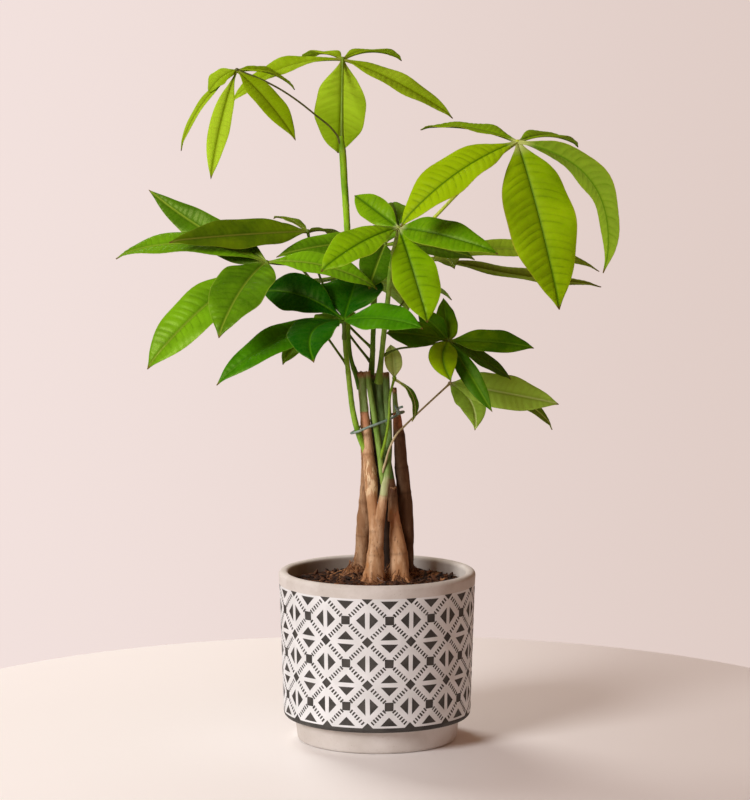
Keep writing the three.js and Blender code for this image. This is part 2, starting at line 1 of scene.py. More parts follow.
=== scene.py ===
"""Looks of the potted money tree: patterned cement pot, bark-chip soil, bundled trunks and palmate leaves.

Shapes are worked out in millimetres, in the CAD frame, and written in metres. The leaves, stems, tie and
pot repeat the driving values of the CAD part, so each fine piece stays where its solid is.
"""

import math

import bpy
import numpy as np
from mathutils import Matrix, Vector
from mathutils.geometry import delaunay_2d_cdt


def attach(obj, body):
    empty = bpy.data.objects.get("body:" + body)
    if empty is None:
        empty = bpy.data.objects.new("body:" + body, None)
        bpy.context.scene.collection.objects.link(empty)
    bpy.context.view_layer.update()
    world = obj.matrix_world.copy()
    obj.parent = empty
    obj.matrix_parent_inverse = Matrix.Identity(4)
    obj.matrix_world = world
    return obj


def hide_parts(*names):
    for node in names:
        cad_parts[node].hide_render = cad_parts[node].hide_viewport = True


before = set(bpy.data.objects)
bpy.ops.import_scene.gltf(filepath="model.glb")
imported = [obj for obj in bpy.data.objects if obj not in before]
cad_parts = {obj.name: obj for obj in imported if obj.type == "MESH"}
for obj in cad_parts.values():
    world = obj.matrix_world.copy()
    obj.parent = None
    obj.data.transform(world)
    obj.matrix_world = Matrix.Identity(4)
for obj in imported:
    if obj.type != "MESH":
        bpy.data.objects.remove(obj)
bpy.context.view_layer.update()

MM = 0.001
TURN = 2 * math.pi

# Pot

POT_RADIUS = 75
POT_HEIGHT = 130
RIM_ROUND = 3.2
WALL = 7.5
BAND_TOP = 120.4
BAND_TOP_RADIUS = 74.6
BAND_BOTTOM = 22.3
BODY_BOTTOM = 18.1
BODY_BOTTOM_RADIUS = 71.3
BODY_CORNER = 3.5
FOOT_TOP_RADIUS = 63.5
FOOT_BOTTOM_RADIUS = 61
FOOT_ROUND = 3
FLOOR_HEIGHT = 24
FLOOR_RADIUS = 60
FLOOR_FILLET = 6
INNER_RADIUS = POT_RADIUS - WALL
WELD_REACH = 0.002
POT_CREASE = 35         # edges sharper than this many degrees stay sharp

# The lattice: columns round the pot, rows up the band, and its motifs in shares of one cell's width

COLUMNS = 14
ROWS = 3
FIRST_COLUMN = math.radians(7.15)
CELL_STRIPS = 8
RECESS = 0.3
SQUARE_HALF = 0.101
DIAMOND_HALF = 1 / CELL_STRIPS
PANE_REACH = 0.249
PANE_BAR = 0.05
DASHES = 6
DASH_STEP = 0.108
DASH_LENGTH = 0.098
DASH_WIDTH = 0.040
PRINT_JITTER = 0.0035
CELL_EDGE = 0.499       # corners past this lie on the cell's edge and stay there
KEY_STEPS = 20000       # corners nearer than one of these steps of a cell are one

# Soil

SOIL_TOP = 119.5
SOIL_HEAPS = ((0, 0, 4, 34), (-17, 5, 5.5, 11), (27, 9, 3, 9))
SOIL_RADIUS = 66.9
TRUNK_FEET = ((-2.2, -14, 8), (-13.8, 8, 7), (16.6, -5.5, 7.4), (23.2, 8, 6.4), (9, 17, 7))   # x, y, radius
CHIPS = 1100
FIBRES = 260
DEBRIS = 26
DEBRIS_PLACE = (29.5, 10)
MAT_FIBRES = 170
FOOT_ROOTS = 9
STRAW = [(-43, -38, 120.2, 0.8), (-39, -40, 120.6, 0.9), (-35, -43, 120.1, 0.85), (-31.5, -46, 119.4, 0.7)]

# Tubes: sides and length of one step

TRUNK_TUBE = (40, 1.5)
SHOOT_TUBE = (24, 1.8)
STALK_TUBE = (14, 2.5)
LARGE_ROOT_TUBE = (12, 1.2)
WIRE_TUBE = (10, 1.2)
FOOT_ROOT_TUBE = (8, 1.5)
MAT_TUBE = (5, 1.6)
FIBRE_TUBE = (4, 2.5)
CAP_DOME = 0.3
TEAR = 0.55             # roughness of a cut

# Trunks

RING_SPACING = 27.0
SLIM_SHOOT = 3.5        # shoots thinner than this have a collar, and closer rings
SLIM_SPACING = 15.0
THICK_SPACING = 21.0
CLEAR = ((0, 0.0), (1, 0.0))   # a stem with no shaded stretch

# Leaf blades

BLADE_CUP = 0.13
BLADE_WAVE = 0.035
BLADE_THICKNESS = 0.55
BLADE_ROW = 1.25        # length of one row of faces
FULL_RELIEF = 20        # blades narrower than this are less puffed between their veins
BLADE_CREASE = 50
KNUCKLE_RADIUS = 1.7
PLAIN = 9.0             # a stalk's off_rib value: no midrib is near
OUTLINE = [
    (0.0, 0.06), (0.05, 0.13), (0.12, 0.33), (0.2, 0.6), (0.3, 0.85), (0.4, 0.96), (0.5, 1.0), (0.6, 0.97),
    (0.69, 0.87), (0.77, 0.72), (0.84, 0.54), (0.9, 0.35), (0.95, 0.16), (1.0, 0.012),
]

# Stage

STAGE_RADIUS = 420
STAGE_SIDES = 180
LIGHT_AIM = Vector((0, 0, 0.28))
CAMERA_PLACE = (-0.0016, -2.4964, 0.5566)
CAMERA_PITCH = math.radians(6.77)
FOCAL_PIXELS = 3318
LONG_SIDE_PIXELS = 800
SENSOR_WIDTH = 36


# Mesh tools

class Shape:
    """Points and faces gathered from several parts of one piece, with a material slot for each face."""

    def __init__(self):
        self.points = []
        self.faces = []
        self.slots = []
        self.values = {}
        self.count = 0

    def add(self, points, faces, slot=0, **values):
        """Values are one number for each point, or one for all of them."""
        points = np.asarray(points, float).reshape(-1, 3)
        self.points.append(points)
        self.faces += [tuple(i + self.count for i in face) for face in faces]
        self.slots += [slot] * len(faces) if np.isscalar(slot) else list(slot)
        for key in set(values) | set(self.values):
            parts = self.values.setdefault(key, [np.zeros(self.count)])
            parts.append(np.broadcast_to(np.asarray(values.get(key, 0.0), float).ravel(), (len(points),)))
        self.count += len(points)

    def thing(self, name, materials, smooth=True):
        """A Blender object in the scene."""
        mesh = bpy.data.meshes.new(name)
        mesh.from_pydata((np.concatenate(self.points) * MM).tolist(), [], self.faces)
        mesh.polygons.foreach_set("material_index", self.slots)
        mesh.polygons.foreach_set("use_smooth", [smooth] * len(self.faces))
        for key, parts in self.values.items():
            data = mesh.attributes.new(key, "FLOAT", "POINT").data
            data.foreach_set("value", np.concatenate(parts).astype(np.float32))
        for material in materials:
            mesh.materials.append(material)
        mesh.validate()
        thing = bpy.data.objects.new(name, mesh)
        bpy.context.scene.collection.objects.link(thing)
        return thing

    def piece(self, name, materials, slot, replaces=None):
        piece = self.thing(name, materials)
        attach(piece, "root")
        if replaces:
            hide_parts(replaces)
        return piece


def grid_faces(rows, columns, closed=False, flip=False, start=0):
    """Quads over a grid of points. A closed grid joins its last column to its first."""
    faces = []
    width = columns if closed else columns - 1
    for i in range(rows - 1):
        for j in range(width):
            a = start + i * columns + j
            b = start + i * columns + (j + 1) % columns
            quad = (a, b, b + columns, a + columns)
            faces.append(quad[::-1] if flip else quad)
    return faces


def round_angles(count):
    return np.arange(count) * TURN / count


def hermite(stations, values, where):
    """Smooth values at the places where, through values given at stations."""
    stations = np.asarray(stations, float)
    values = np.asarray(values, float)
    slopes = np.gradient(values, stations, axis=0)
    i = np.clip(np.searchsorted(stations, where, side="right") - 1, 0, len(stations) - 2)
    step = stations[i + 1] - stations[i]
    u = (where - stations[i]) / step
    if values.ndim > 1:
        step, u = step[:, None], u[:, None]
    start = (2 * u**3 - 3 * u**2 + 1) * values[i] + (u**3 - 2 * u**2 + u) * step * slopes[i]
    end = (3 * u**2 - 2 * u**3) * values[i + 1] + (u**3 - u**2) * step * slopes[i + 1]
    return start + end


def unit(vectors):
    return vectors / np.linalg.norm(vectors, axis=-1, keepdims=True)


def smooth_step(low, high, value):
    x = np.clip((value - low) / (high - low), 0, 1)
    return x * x * (3 - 2 * x)


def waves(angle, height, seed):
    """Even, seamless bumps from -1 to 1 over an angle and a height in millimetres."""
    draw = np.random.default_rng(seed)
    total = np.zeros(np.broadcast(angle, height).shape)
    for _ in range(9):
        around = draw.integers(1, 6)
        length = draw.uniform(7, 30)
        total += np.sin(around * angle + height * TURN / length + draw.uniform(0, 6.3))
    return total / 4


def stem_rings(points, step):
    """Centres, radii, lengths and two cross directions along a smooth stem through x, y, z, radius."""
    points = np.asarray(points, float)
    chords = np.linalg.norm(np.diff(points[:, :3], axis=0), axis=1)
    stations = np.concatenate([[0], np.cumsum(chords)])
    along = np.linspace(0, stations[-1], max(3, round(stations[-1] / step) + 1))
    rows = hermite(stations, points, along)
    tangents = unit(np.gradient(rows[:, :3], axis=0))
    across = np.cross(tangents[0], [0.3, 1, 0.1])
    first = []
    for tangent in tangents:
        across = across - tangent * np.dot(across, tangent)
        across = across / np.linalg.norm(across)
        first.append(across)
    first = np.array(first)
    second = np.cross(tangents, first)
    return rows[:, :3], rows[:, 3], along, first, second, tangents


def add_stem(shape, points, sides, step, relief=None, slot=0, cap_slot=None, ragged=None, **values):
    """A stem with closed ends. relief(angle, centres, along) adds to its radius in millimetres.

    ragged, a seed, roughens the upper end as a dried cut."""
    centres, radii, along, first, second, tangents = stem_rings(points, step)
    angle = round_angles(sides)
    radius = np.repeat(radii[:, None], sides, 1)
    if relief:
        radius = radius + relief(angle[None, :], centres, along[:, None])
    ring = first[:, None] * np.cos(angle)[None, :, None] + second[:, None] * np.sin(angle)[None, :, None]
    side = centres[:, None] + ring * radius[..., None]
    rows = len(along)
    if ragged is not None:
        torn = np.random.default_rng(ragged).normal(0, TEAR, sides)
        side[-1] += tangents[-1] * torn[:, None]
    end = centres[-1] + (side[-1] - centres[-1]) * 0.72 + tangents[-1] * CAP_DOME
    tip = centres[-1] + tangents[-1] * CAP_DOME * 1.3
    faces = grid_faces(rows, sides, closed=True)
    slots = [slot] * len(faces)
    cap = slot if cap_slot is None else cap_slot
    base = rows * sides
    for k in range(sides):
        n = (k + 1) % sides
        faces.append(((rows - 1) * sides + k, (rows - 1) * sides + n, base + n, base + k))
        faces.append((base + k, base + n, base + sides))
        faces.append((n, k, base + sides + 1))
        slots += [cap, cap, slot]
    points_out = np.concatenate([side.reshape(-1, 3), end, [tip], [centres[0]]])
    spread = {}
    for key, value in values.items():
        value = value(centres, along) if callable(value) else np.full(rows, float(value))
        spread[key] = np.concatenate([np.repeat(value, sides), np.full(sides + 2, value[-1])])
    shape.add(points_out, faces, slots, **spread)


def add_ball(shape, centre, radius, slot=0, rings=8, sides=12, **values):
    polar = np.linspace(0, math.pi, rings + 1)[1:-1]
    turn = round_angles(sides)
    x = np.sin(polar)[:, None] * np.cos(turn)
    y = np.sin(polar)[:, None] * np.sin(turn)
    z = np.repeat(np.cos(polar)[:, None], sides, 1)
    points = np.stack([x, y, z], -1).reshape(-1, 3)
    points = np.concatenate([points, [[0, 0, 1], [0, 0, -1]]]) * radius + centre
    rows = rings - 1
    faces = grid_faces(rows, sides, closed=True, flip=True)
    top, bottom = rows * sides, rows * sides + 1
    for k in range(sides):
        n = (k + 1) % sides
        faces.append((top, k, n))
        faces.append((bottom, (rows - 1) * sides + n, (rows - 1) * sides + k))
    shape.add(points, faces, slot, **values)


def weld(piece, distance):
    modifier = piece.modifiers.new("weld", "WELD")
    modifier.merge_threshold = distance * MM
    with bpy.context.temp_override(object=piece, active_object=piece, selected_objects=[piece]):
        bpy.ops.object.modifier_apply(modifier=modifier.name)


def split_smooth(piece, degrees):
    """Smooth shading that stops at edges sharper than an angle."""
    with bpy.context.temp_override(object=piece, active_object=piece, selected_editable_objects=[piece]):
        bpy.ops.object.shade_smooth_by_angle(angle=math.radians(degrees))


# Material tools

class Nodes:
    """Short calls for the shader nodes of a material or world. They take outputs or plain values."""

    def __init__(self, owner):
        owner.use_nodes = True
        self.tree = owner.node_tree
        self.tree.nodes.clear()

    def put(self, socket, value):
        if isinstance(value, bpy.types.NodeSocket):
            self.tree.links.new(value, socket)
        else:
            socket.default_value = (*value, 1.0) if socket.type == "RGBA" else value

    def node(self, kind, *inputs, **named):
        node = self.tree.nodes.new("ShaderNode" + kind)
        for key, value in (*enumerate(inputs), *named.items()):
            self.put(node.inputs[key], value)
        return node

    def place(self, scale):
        """The place on the object and a scale. Three scales, one for each axis, stretch the place."""
        place = self.node("TexCoord").outputs["Object"]
        if np.isscalar(scale):
            return place, scale
        return self.node("Mapping", place, Scale=scale).outputs[0], 1

    def part(self, letter, space="Object"):
        """One coordinate of the place, in metres."""
        return self.node("SeparateXYZ", self.node("TexCoord").outputs[space]).outputs[letter]

    def value(self, name):
        node = self.node("Attribute")
        node.attribute_name = name
        return node.outputs["Fac"]

    def noise(self, scale, detail=4.0, roughness=0.55):
        place, scale = self.place(scale)
        return self.node("TexNoise", place, Scale=scale, Detail=detail, Roughness=roughness).outputs["Fac"]

    def cells(self, scale):
        place, scale = self.place(scale)
        return self.node("TexVoronoi", place, Scale=scale).outputs["Distance"]

    def sum(self, operation, a, b=0.5, c=0.5):
        node = self.node("Math", a, b, c)
        node.operation = operation
        return node.outputs[0]

    def times(self, a, b):
        return self.sum("MULTIPLY", a, b)

    def span(self, value, low, high, to_low=0.0, to_high=1.0):
        node = self.node("MapRange", value, low, high, to_low, to_high)
        node.interpolation_type = "SMOOTHSTEP"
        return node.outputs[0]

    def blend(self, share, a, b, kind="MIX"):
        node = self.node("Mix", share)
        node.data_type = "RGBA"
        node.blend_type = kind
        self.put(node.inputs[6], a)
        self.put(node.inputs[7], b)
        return node.outputs[2]

    def cover(self, base, colour, share, amount):
        """A base with a colour laid over a share of it, by an amount."""
        return self.blend(self.times(share, amount), base, colour)


class Paint(Nodes):
    """A node material with a Principled shader."""

    def __init__(self, name, roughness, specular=0.5):
        self.material = bpy.data.materials.new(name)
        super().__init__(self.material)
        self.shader = self.node("BsdfPrincipled", Roughness=roughness)
        self.put(self.shader.inputs["Specular IOR Level"], specular)
        self.output = self.node("OutputMaterial", self.shader.outputs[0])

    def through(self, colour, share):
        """Light that passes through the blade, as a share of what it scatters."""
        glow = self.node("BsdfTranslucent", colour)
        mix = self.node("MixShader", share, self.shader.outputs[0], glow.outputs[0])
        self.put(self.output.inputs[0], mix.outputs[0])

    def finish(self, colour, height, distance, strength):
        """The finished material: its colour, and its relief over a distance in millimetres."""
        bump = self.node("Bump", Distance=distance * MM, Strength=strength, Height=height)
        self.put(self.shader.inputs["Normal"], bump.outputs[0])
        self.put(self.shader.inputs["Base Color"], colour)
        return self.material


def grained(name, roughness, grain, span, dark, light, distance, strength, specular=0.5):
    """Two colours mixed by a grain, which is the relief too."""
    paint = Paint(name, roughness, specular)
    grain = paint.noise(*grain)
    return paint.finish(paint.blend(paint.span(grain, *span), dark, light), grain, distance, strength)


def toned(name, roughness, tone, grain, colour, layers, speck_span, speck, distance, strength):
    """A colour, layers laid over it by a tone, and specks by a grain, which is the relief too.

    The tone is a noise, or where it is None, the mesh's own."""
    paint = Paint(name, roughness)
    tone = paint.noise(*tone) if tone else paint.value("tone")
    grain = paint.noise(*grain)
    for low, high, layer in layers:
        colour = paint.blend(paint.span(tone, low, high), colour, layer)
    return paint.finish(paint.blend(paint.span(grain, *speck_span), colour, speck), grain, distance, strength)


def scaled(colour, factor):
    return tuple(min(1.0, c * factor) for c in colour)


# Pot

def cement_paint():
    """Pale cement with pits. Inside, above the soil, it is darkened brown: painted shade on the left side,
    over faint brown patches all round.
    """
    paint = Paint("cement", 0.82)
    cloud = paint.noise(26, 5, 0.6)
    fine = paint.noise(420, 3, 0.7)
    speck = paint.span(paint.cells(260), 0.05, 0.16, 1.0, 0.0)
    base = paint.blend(paint.span(cloud, 0.3, 0.7), (0.55, 0.505, 0.465), (0.69, 0.65, 0.62))
    base = paint.blend(paint.span(fine, 0.55, 0.8, 0.0, 0.35), base, (0.42, 0.35, 0.30))
    base = paint.cover(base, (0.33, 0.27, 0.22), speck, 0.28)
    x, y, z = (paint.part(letter) for letter in "XYZ")
    reach = paint.sum("SQRT", paint.sum("MULTIPLY_ADD", x, x, paint.times(y, y)))
    inner = paint.span(reach, (INNER_RADIUS + 0.1) * MM, (INNER_RADIUS + 1.2) * MM, 1.0, 0.0)
    inner = paint.times(inner, paint.span(z, 0.110, 0.116))
    # Painted shade: the inner wall above the soil is darker towards the left, where shade falls, over faint
    # brown patches.
    shaded_left = paint.span(x, -0.045, 0.030, 1.0, 0.0)
    left_shade_and_patches = paint.sum("MULTIPLY_ADD", shaded_left, 0.65, paint.span(cloud, 0.3, 0.7, 0.0, 0.25))
    base = paint.cover(base, (0.13, 0.075, 0.038), inner, left_shade_and_patches)
    height = paint.sum("MULTIPLY_ADD", fine, 0.5, paint.times(speck, -0.6))
    return paint.finish(base, height, 0.25, 0.6)


def white_print_paint():
    return toned("print_white", 0.6, (60, 4), (700, 3, 0.7), (0.69, 0.70, 0.705),
                 [(0.3, 0.72, (0.79, 0.80, 0.815))], (0.6, 0.85, 0.0, 0.3), (0.55, 0.50, 0.46),
                 distance=0.12, strength=0.6)


def dark_print_paint():
    return toned("print_dark", 0.7, (90, 4), (800, 3, 0.7), (0.030, 0.027, 0.024),
                 [(0.3, 0.72, (0.062, 0.057, 0.051))], (0.62, 0.82, 0.0, 0.35), (0.22, 0.20, 0.18),
                 distance=0.15, strength=0.7)


def band_radius(z):
    share = (z - BODY_BOTTOM) / (BAND_TOP - BODY_BOTTOM)
    return BODY_BOTTOM_RADIUS + (BAND_TOP_RADIUS - BODY_BOTTOM_RADIUS) * share


def around(angle, radius, z):
    """A point of the pot. Angles run from the front, -Y, towards +X."""
    return (radius * math.sin(angle), -radius * math.cos(angle), z)


def motifs():
    """Dark shapes of one cell, a unit square round a small square, with diamonds at its corners."""
    s, d, p, b = SQUARE_HALF, DIAMOND_HALF, PANE_REACH, PANE_BAR
    shapes = [[(-s, -s), (s, -s), (s, s), (-s, s)]]
    for sx in (-1, 1):
        for sy in (-1, 1):
            shapes.append([(sx * 0.5, sy * 0.5), (sx * (0.5 - d), sy * 0.5), (sx * 0.5, sy * (0.5 - d))])
            along = np.array([sx, sy]) / math.sqrt(2)
            across = np.array([-sy, sx]) / math.sqrt(2)
            for k in range(DASHES):
                share = 0.5 + (k - (DASHES - 1) / 2) * DASH_STEP
                middle = np.array([sx * 0.5 * share, sy * 0.5 * share])
                shapes.append([tuple(middle + along * u * DASH_WIDTH / 2 + across * v * DASH_LENGTH / 2)
                               for u, v in ((-1, -1), (1, -1), (1, 1), (-1, 1))])
        shapes.append([(sx * (0.5 - p), 0), (sx * (0.5 - b), p - b), (sx * (0.5 - b), b - p)])
        shapes.append([(0, sx * (0.5 - p)), (p - b, sx * (0.5 - b)), (b - p, sx * (0.5 - b))])
    return shapes


def inside(shape, x, y):
    hit = False
    for (ax, ay), (bx, by) in zip(shape, shape[1:] + shape[:1]):
        if (ay > y) != (by > y) and x < (bx - ax) * (y - ay) / (by - ay) + ax:
            hit = not hit
    return hit


def cell_triangles(draw):
    """One cell cut into triangles along its dark shapes, each marked dark or not."""
    shapes = []
    for shape in motifs():
        moved = []
        for x, y in shape:
            shift = draw.normal(0, PRINT_JITTER, 2) if max(abs(x), abs(y)) < CELL_EDGE else (0, 0)
            moved.append((x + shift[0], y + shift[1]))
        shapes.append(moved)
    points = []
    edges = []
    for shape in shapes:
        start = len(points)
        points += [Vector(p) for p in shape]
        edges += [(start + i, start + (i + 1) % len(shape)) for i in range(len(shape))]
    strips = [-0.5 + k / CELL_STRIPS for k in range(CELL_STRIPS + 1)]
    for ends in [((x, -0.5), (x, 0.5)) for x in strips] + [((-0.5, y), (0.5, y)) for y in (-0.5, 0.5)]:
        points += [Vector(end) for end in ends]
        edges.append((len(points) - 2, len(points) - 1))
    found, _, triangles, *_ = delaunay_2d_cdt(points, edges, [], 0, 1e-5)
    result = []
    for triangle in triangles:
        corners = [(found[i].x, found[i].y) for i in triangle]
        x, y = (sum(values) / 3 for values in zip(*corners))
        result.append((corners, any(inside(shape, x, y) for shape in shapes)))
    return result


def add_band(shape):
    """The printed band: white faces proud of dark ones, with a small wall between them."""
    draw = np.random.default_rng(5)
    rise = (BAND_TOP - BAND_BOTTOM) / ROWS
    index = {}
    points = []
    faces = []
    slots = []
    sides = {}

    def corner(u, v, low):
        key = (round(u * KEY_STEPS) % (COLUMNS * KEY_STEPS), round(v * KEY_STEPS), low)
        if key not in index:
            index[key] = len(points)
            z = BAND_BOTTOM + v * rise
            angle = FIRST_COLUMN + u * (TURN / COLUMNS)
            points.append(around(angle, band_radius(z) - (RECESS if low else 0), z))
        return index[key]

    for column in range(COLUMNS):
        for row in range(ROWS):
            for corners, dark in cell_triangles(draw):
                spots = [(column + x, row + y + 0.5) for x, y in corners]
                faces.append(tuple(corner(u, v, dark) for u, v in spots))
                slots.append(2 if dark else 1)
                for a, b in zip(spots, spots[1:] + spots[:1]):
                    ends = (corner(*a, False), corner(*b, False))
                    sides.setdefault(frozenset(ends), []).append((a, b, dark))
    for found in sides.values():
        a, b, dark = found[0]
        if len(found) == 2:
            if dark == found[1][2]:
                continue
            if dark:
                a, b, dark = found[1]
        elif (a[1] > ROWS / 2) != dark:
            continue
        elif dark:
            a, b = b, a
        faces.append((corner(*b, False), corner(*a, False), corner(*a, True), corner(*b, True)))
        slots.append(2)
    shape.add(points, faces, slots)


def arc(cx, cz, radius, start, end, steps):
    angles = np.radians(np.linspace(start, end, steps + 1))
    return [(cx + radius * math.cos(a), cz + radius * math.sin(a)) for a in angles]


def add_turned(shape, profile, slots):
    """Part of the pot turned round its axis, with points where the band's cells have theirs."""
    count = COLUMNS * CELL_STRIPS
    angles = [FIRST_COLUMN + k * TURN / count for k in range(count)]
    points = []
    rows = []
    for radius, z in profile:
        rows.append((len(points), radius > 0))
        points += [around(a, radius, z) for a in angles] if radius > 0 else [(0, 0, z)]
    faces = []
    marks = []
    for (a, a_wide), (b, b_wide), slot in zip(rows, rows[1:], slots):
        for k in range(count):
            n = (k + 1) % count
            if a_wide and b_wide:
                faces.append((a + k, a + n, b + n, b + k))
            elif a_wide:
                faces.append((a + k, a + n, b))
            else:
                faces.append((a, b + n, b + k))
            marks.append(slot)
    shape.add(points, faces, marks)


def make_pot():
    shape = Shape()
    low = band_radius(BAND_BOTTOM) - RECESS
    foot = [(0, 0), (30, 0)] + arc(FOOT_BOTTOM_RADIUS - FOOT_ROUND, FOOT_ROUND, FOOT_ROUND, -90, 0, 6)
    foot += [(FOOT_TOP_RADIUS - 0.8, BODY_BOTTOM - 2.2), (FOOT_TOP_RADIUS, BODY_BOTTOM)]
    corner = arc(BODY_BOTTOM_RADIUS - BODY_CORNER, BODY_BOTTOM + BODY_CORNER, BODY_CORNER, -90, 0, 6)
    add_turned(shape, foot + corner + [(low, BAND_BOTTOM)], [0] * len(foot) + [2] * len(corner))
    add_band(shape)
    rim = [(BAND_TOP_RADIUS, BAND_TOP), (BAND_TOP_RADIUS + 0.15, BAND_TOP + 3)]
    rim += arc(POT_RADIUS - RIM_ROUND, POT_HEIGHT - RIM_ROUND, RIM_ROUND, 0, 90, 7)
    rim += arc(INNER_RADIUS + RIM_ROUND, POT_HEIGHT - RIM_ROUND, RIM_ROUND, 90, 180, 7)
    rim += arc(FLOOR_RADIUS, FLOOR_HEIGHT + FLOOR_FILLET, FLOOR_FILLET, 0, -90, 4) + [(0, FLOOR_HEIGHT)]
    add_turned(shape, rim, [0] * (len(rim) - 1))
    pot = shape.piece("pot_body", [cement_paint(), white_print_paint(), dark_print_paint()], "pot", "pot")
    weld(pot, WELD_REACH)
    split_smooth(pot, POT_CREASE)


# Soil

def soil_height(x, y):
    mound = sum(rise * np.exp(-((x - cx) ** 2 + (y - cy) ** 2) / spread**2)
                for cx, cy, rise, spread in SOIL_HEAPS)
    ripple = 0.7 * np.sin(x / 6.1 + 1.3) * np.cos(y / 7.3) + 0.5 * np.sin((x - y) / 4.3)
    return SOIL_TOP + mound + ripple


def soil_paint():
    return grained("soil", 0.95, (300, 6, 0.7), (0.35, 0.65), (0.016, 0.006, 0.003), (0.070, 0.028, 0.012),
                   distance=1.2, strength=1.0)


def straw_paint():
    return grained("straw", 0.6, (400, 3, 0.6), (0.3, 0.7), (0.50, 0.36, 0.07), (0.62, 0.50, 0.16),
                   distance=0.2, strength=0.6)


def chip_paint():
    return toned("bark_chips", 0.85, None, (500, 4, 0.6), (0.020, 0.008, 0.004),
                 [(0.0, 0.55, (0.115, 0.042, 0.016)), (0.76, 1.0, (0.34, 0.15, 0.06))],
                 (0.4, 0.75, 0.0, 0.6), (0.03, 0.015, 0.01), distance=0.5, strength=0.8)


def root_paint():
    return toned("roots", 0.75, None, (500, 3, 0.6), (0.10, 0.030, 0.009),
                 [(0.0, 0.8, (0.46, 0.215, 0.085)), (0.9, 1.0, (0.34, 0.25, 0.21))],
                 (0.45, 0.75, 0.0, 0.5), (0.08, 0.025, 0.01), distance=0.3, strength=0.8)


def turned_to(draw, tilt):
    """A cross frame of three directions, lying nearly flat."""
    heading = draw.uniform(0, TURN)
    lean, roll = draw.normal(0, tilt), draw.normal(0, tilt)
    along = np.array([math.cos(heading) * math.cos(lean), math.sin(heading) * math.cos(lean), math.sin(lean)])
    up = np.array([-math.sin(lean) * math.cos(heading), -math.sin(lean) * math.sin(heading), math.cos(lean)])
    side = np.cross(up, along)
    return along, side * math.cos(roll) + up * math.sin(roll), up * math.cos(roll) - side * math.sin(roll)


def add_chip(shape, centre, length, width, height, draw, tone):
    """A torn flake of bark: a bent bar of five cross sections, ragged and tapered at its ends."""
    along, side, up = turned_to(draw, 0.35)
    shares = np.array([-0.5, -0.28, 0.02, 0.3, 0.5])
    swell = np.array([0.25, 0.85, 1.0, 0.8, 0.2]) * draw.uniform(0.8, 1.15, 5)
    bend = draw.normal(0, 0.12) * length
    rings = []
    for share, fat in zip(shares, swell):
        middle = centre + along * share * length + up * bend * (share * share * 4 - 0.5)
        for u, v in ((-0.5, -0.5), (0.5, -0.4), (0.42, 0.5), (-0.38, 0.45)):
            rings.append(middle + side * u * fat * width + up * v * fat * height)
    faces = grid_faces(5, 4, closed=True) + [(3, 2, 1, 0), (16, 17, 18, 19)]
    shape.add(rings, faces, tone=tone)


def make_soil():
    draw = np.random.default_rng(11)
    rings, sides = 60, 150
    radius = np.linspace(0.5, SOIL_RADIUS - 0.4, rings)[:, None]
    turn = round_angles(sides)
    x, y = radius * np.cos(turn), radius * np.sin(turn)
    rough = draw.normal(0, 0.35, x.shape)
    points = [np.stack([x, y, soil_height(x, y) + rough * (radius < SOIL_RADIUS - 1)], -1).reshape(-1, 3)]
    for r, level in ((SOIL_RADIUS - 0.5, 60), (FLOOR_RADIUS, FLOOR_HEIGHT + 0.4)):
        points.append(np.stack([r * np.cos(turn), r * np.sin(turn), np.full(sides, level)], -1))
    bottom = (rings + 1) * sides
    faces = grid_faces(rings + 2, sides, closed=True, flip=True)
    faces += [tuple(range(sides)), tuple(reversed(range(bottom, bottom + sides)))]
    shape = Shape()
    shape.add(np.concatenate(points), faces)
    shape.piece("soil_mix", [soil_paint()], "soil", "soil")


def make_chips():
    """Bark chips strewn over the soil, clear of the trunks, and a small heap of debris beside one."""
    draw = np.random.default_rng(23)
    shape = Shape()
    placed = 0
    while placed < CHIPS:
        angle = draw.uniform(0, TURN)
        reach = math.sqrt(draw.uniform(0.0, 1.0)) * (SOIL_RADIUS - 3)
        x, y = reach * math.cos(angle), reach * math.sin(angle)
        length = draw.gamma(3.0, 1.5) + 2.0
        clearance = min(math.hypot(x - px, y - py) - r for px, py, r in TRUNK_FEET)
        if reach + length / 2 > SOIL_RADIUS - 1.5 or clearance < 0.6:
            continue
        centre = np.array([x, y, soil_height(x, y) + draw.uniform(-0.2, 1.6)])
        tone = draw.uniform(0, 1) ** 2.2
        add_chip(shape, centre, length, length * draw.uniform(0.2, 0.55), draw.uniform(0.6, 1.7), draw, tone)
        placed += 1
    for _ in range(DEBRIS):
        place = np.array([*DEBRIS_PLACE, 0]) + draw.normal(0, 1, 3) * (1.9, 1.9, 0)
        place[2] = soil_height(place[0], place[1]) + draw.uniform(0, 5.5)
        size = draw.uniform(4, 9)
        add_chip(shape, place, size, size * 0.5, draw.uniform(1.4, 2.6), draw, draw.uniform(0.0, 0.35))
    shape.piece("bark_chips", [chip_paint()], "soil")


def make_fibres():
    draw = np.random.default_rng(31)
    shape = Shape()
    for _ in range(FIBRES):
        angle = draw.uniform(0, TURN)
        reach = math.sqrt(draw.uniform(0.02, 0.86)) * SOIL_RADIUS
        heading = draw.uniform(0, TURN)
        length = draw.uniform(8, 20)
        curl = draw.normal(0, 0.12)
        points = []
        for k in range(6):
            x = reach * math.cos(angle) + math.cos(heading + curl * k) * length * (k / 5 - 0.5)
            y = reach * math.sin(angle) + math.sin(heading + curl * k) * length * (k / 5 - 0.5)
            if math.hypot(x, y) <= SOIL_RADIUS - 1.5:
                lift = 1.2 + 1.2 * math.sin(k * 1.3 + angle * 5)
                points.append((x, y, float(soil_height(x, y)) + lift, 0.22))
        if len(points) > 3:
            add_stem(shape, points, *FIBRE_TUBE, tone=draw.uniform(0.3, 0.95))
    shape.piece("coir_fibres", [chip_paint()], "soil")


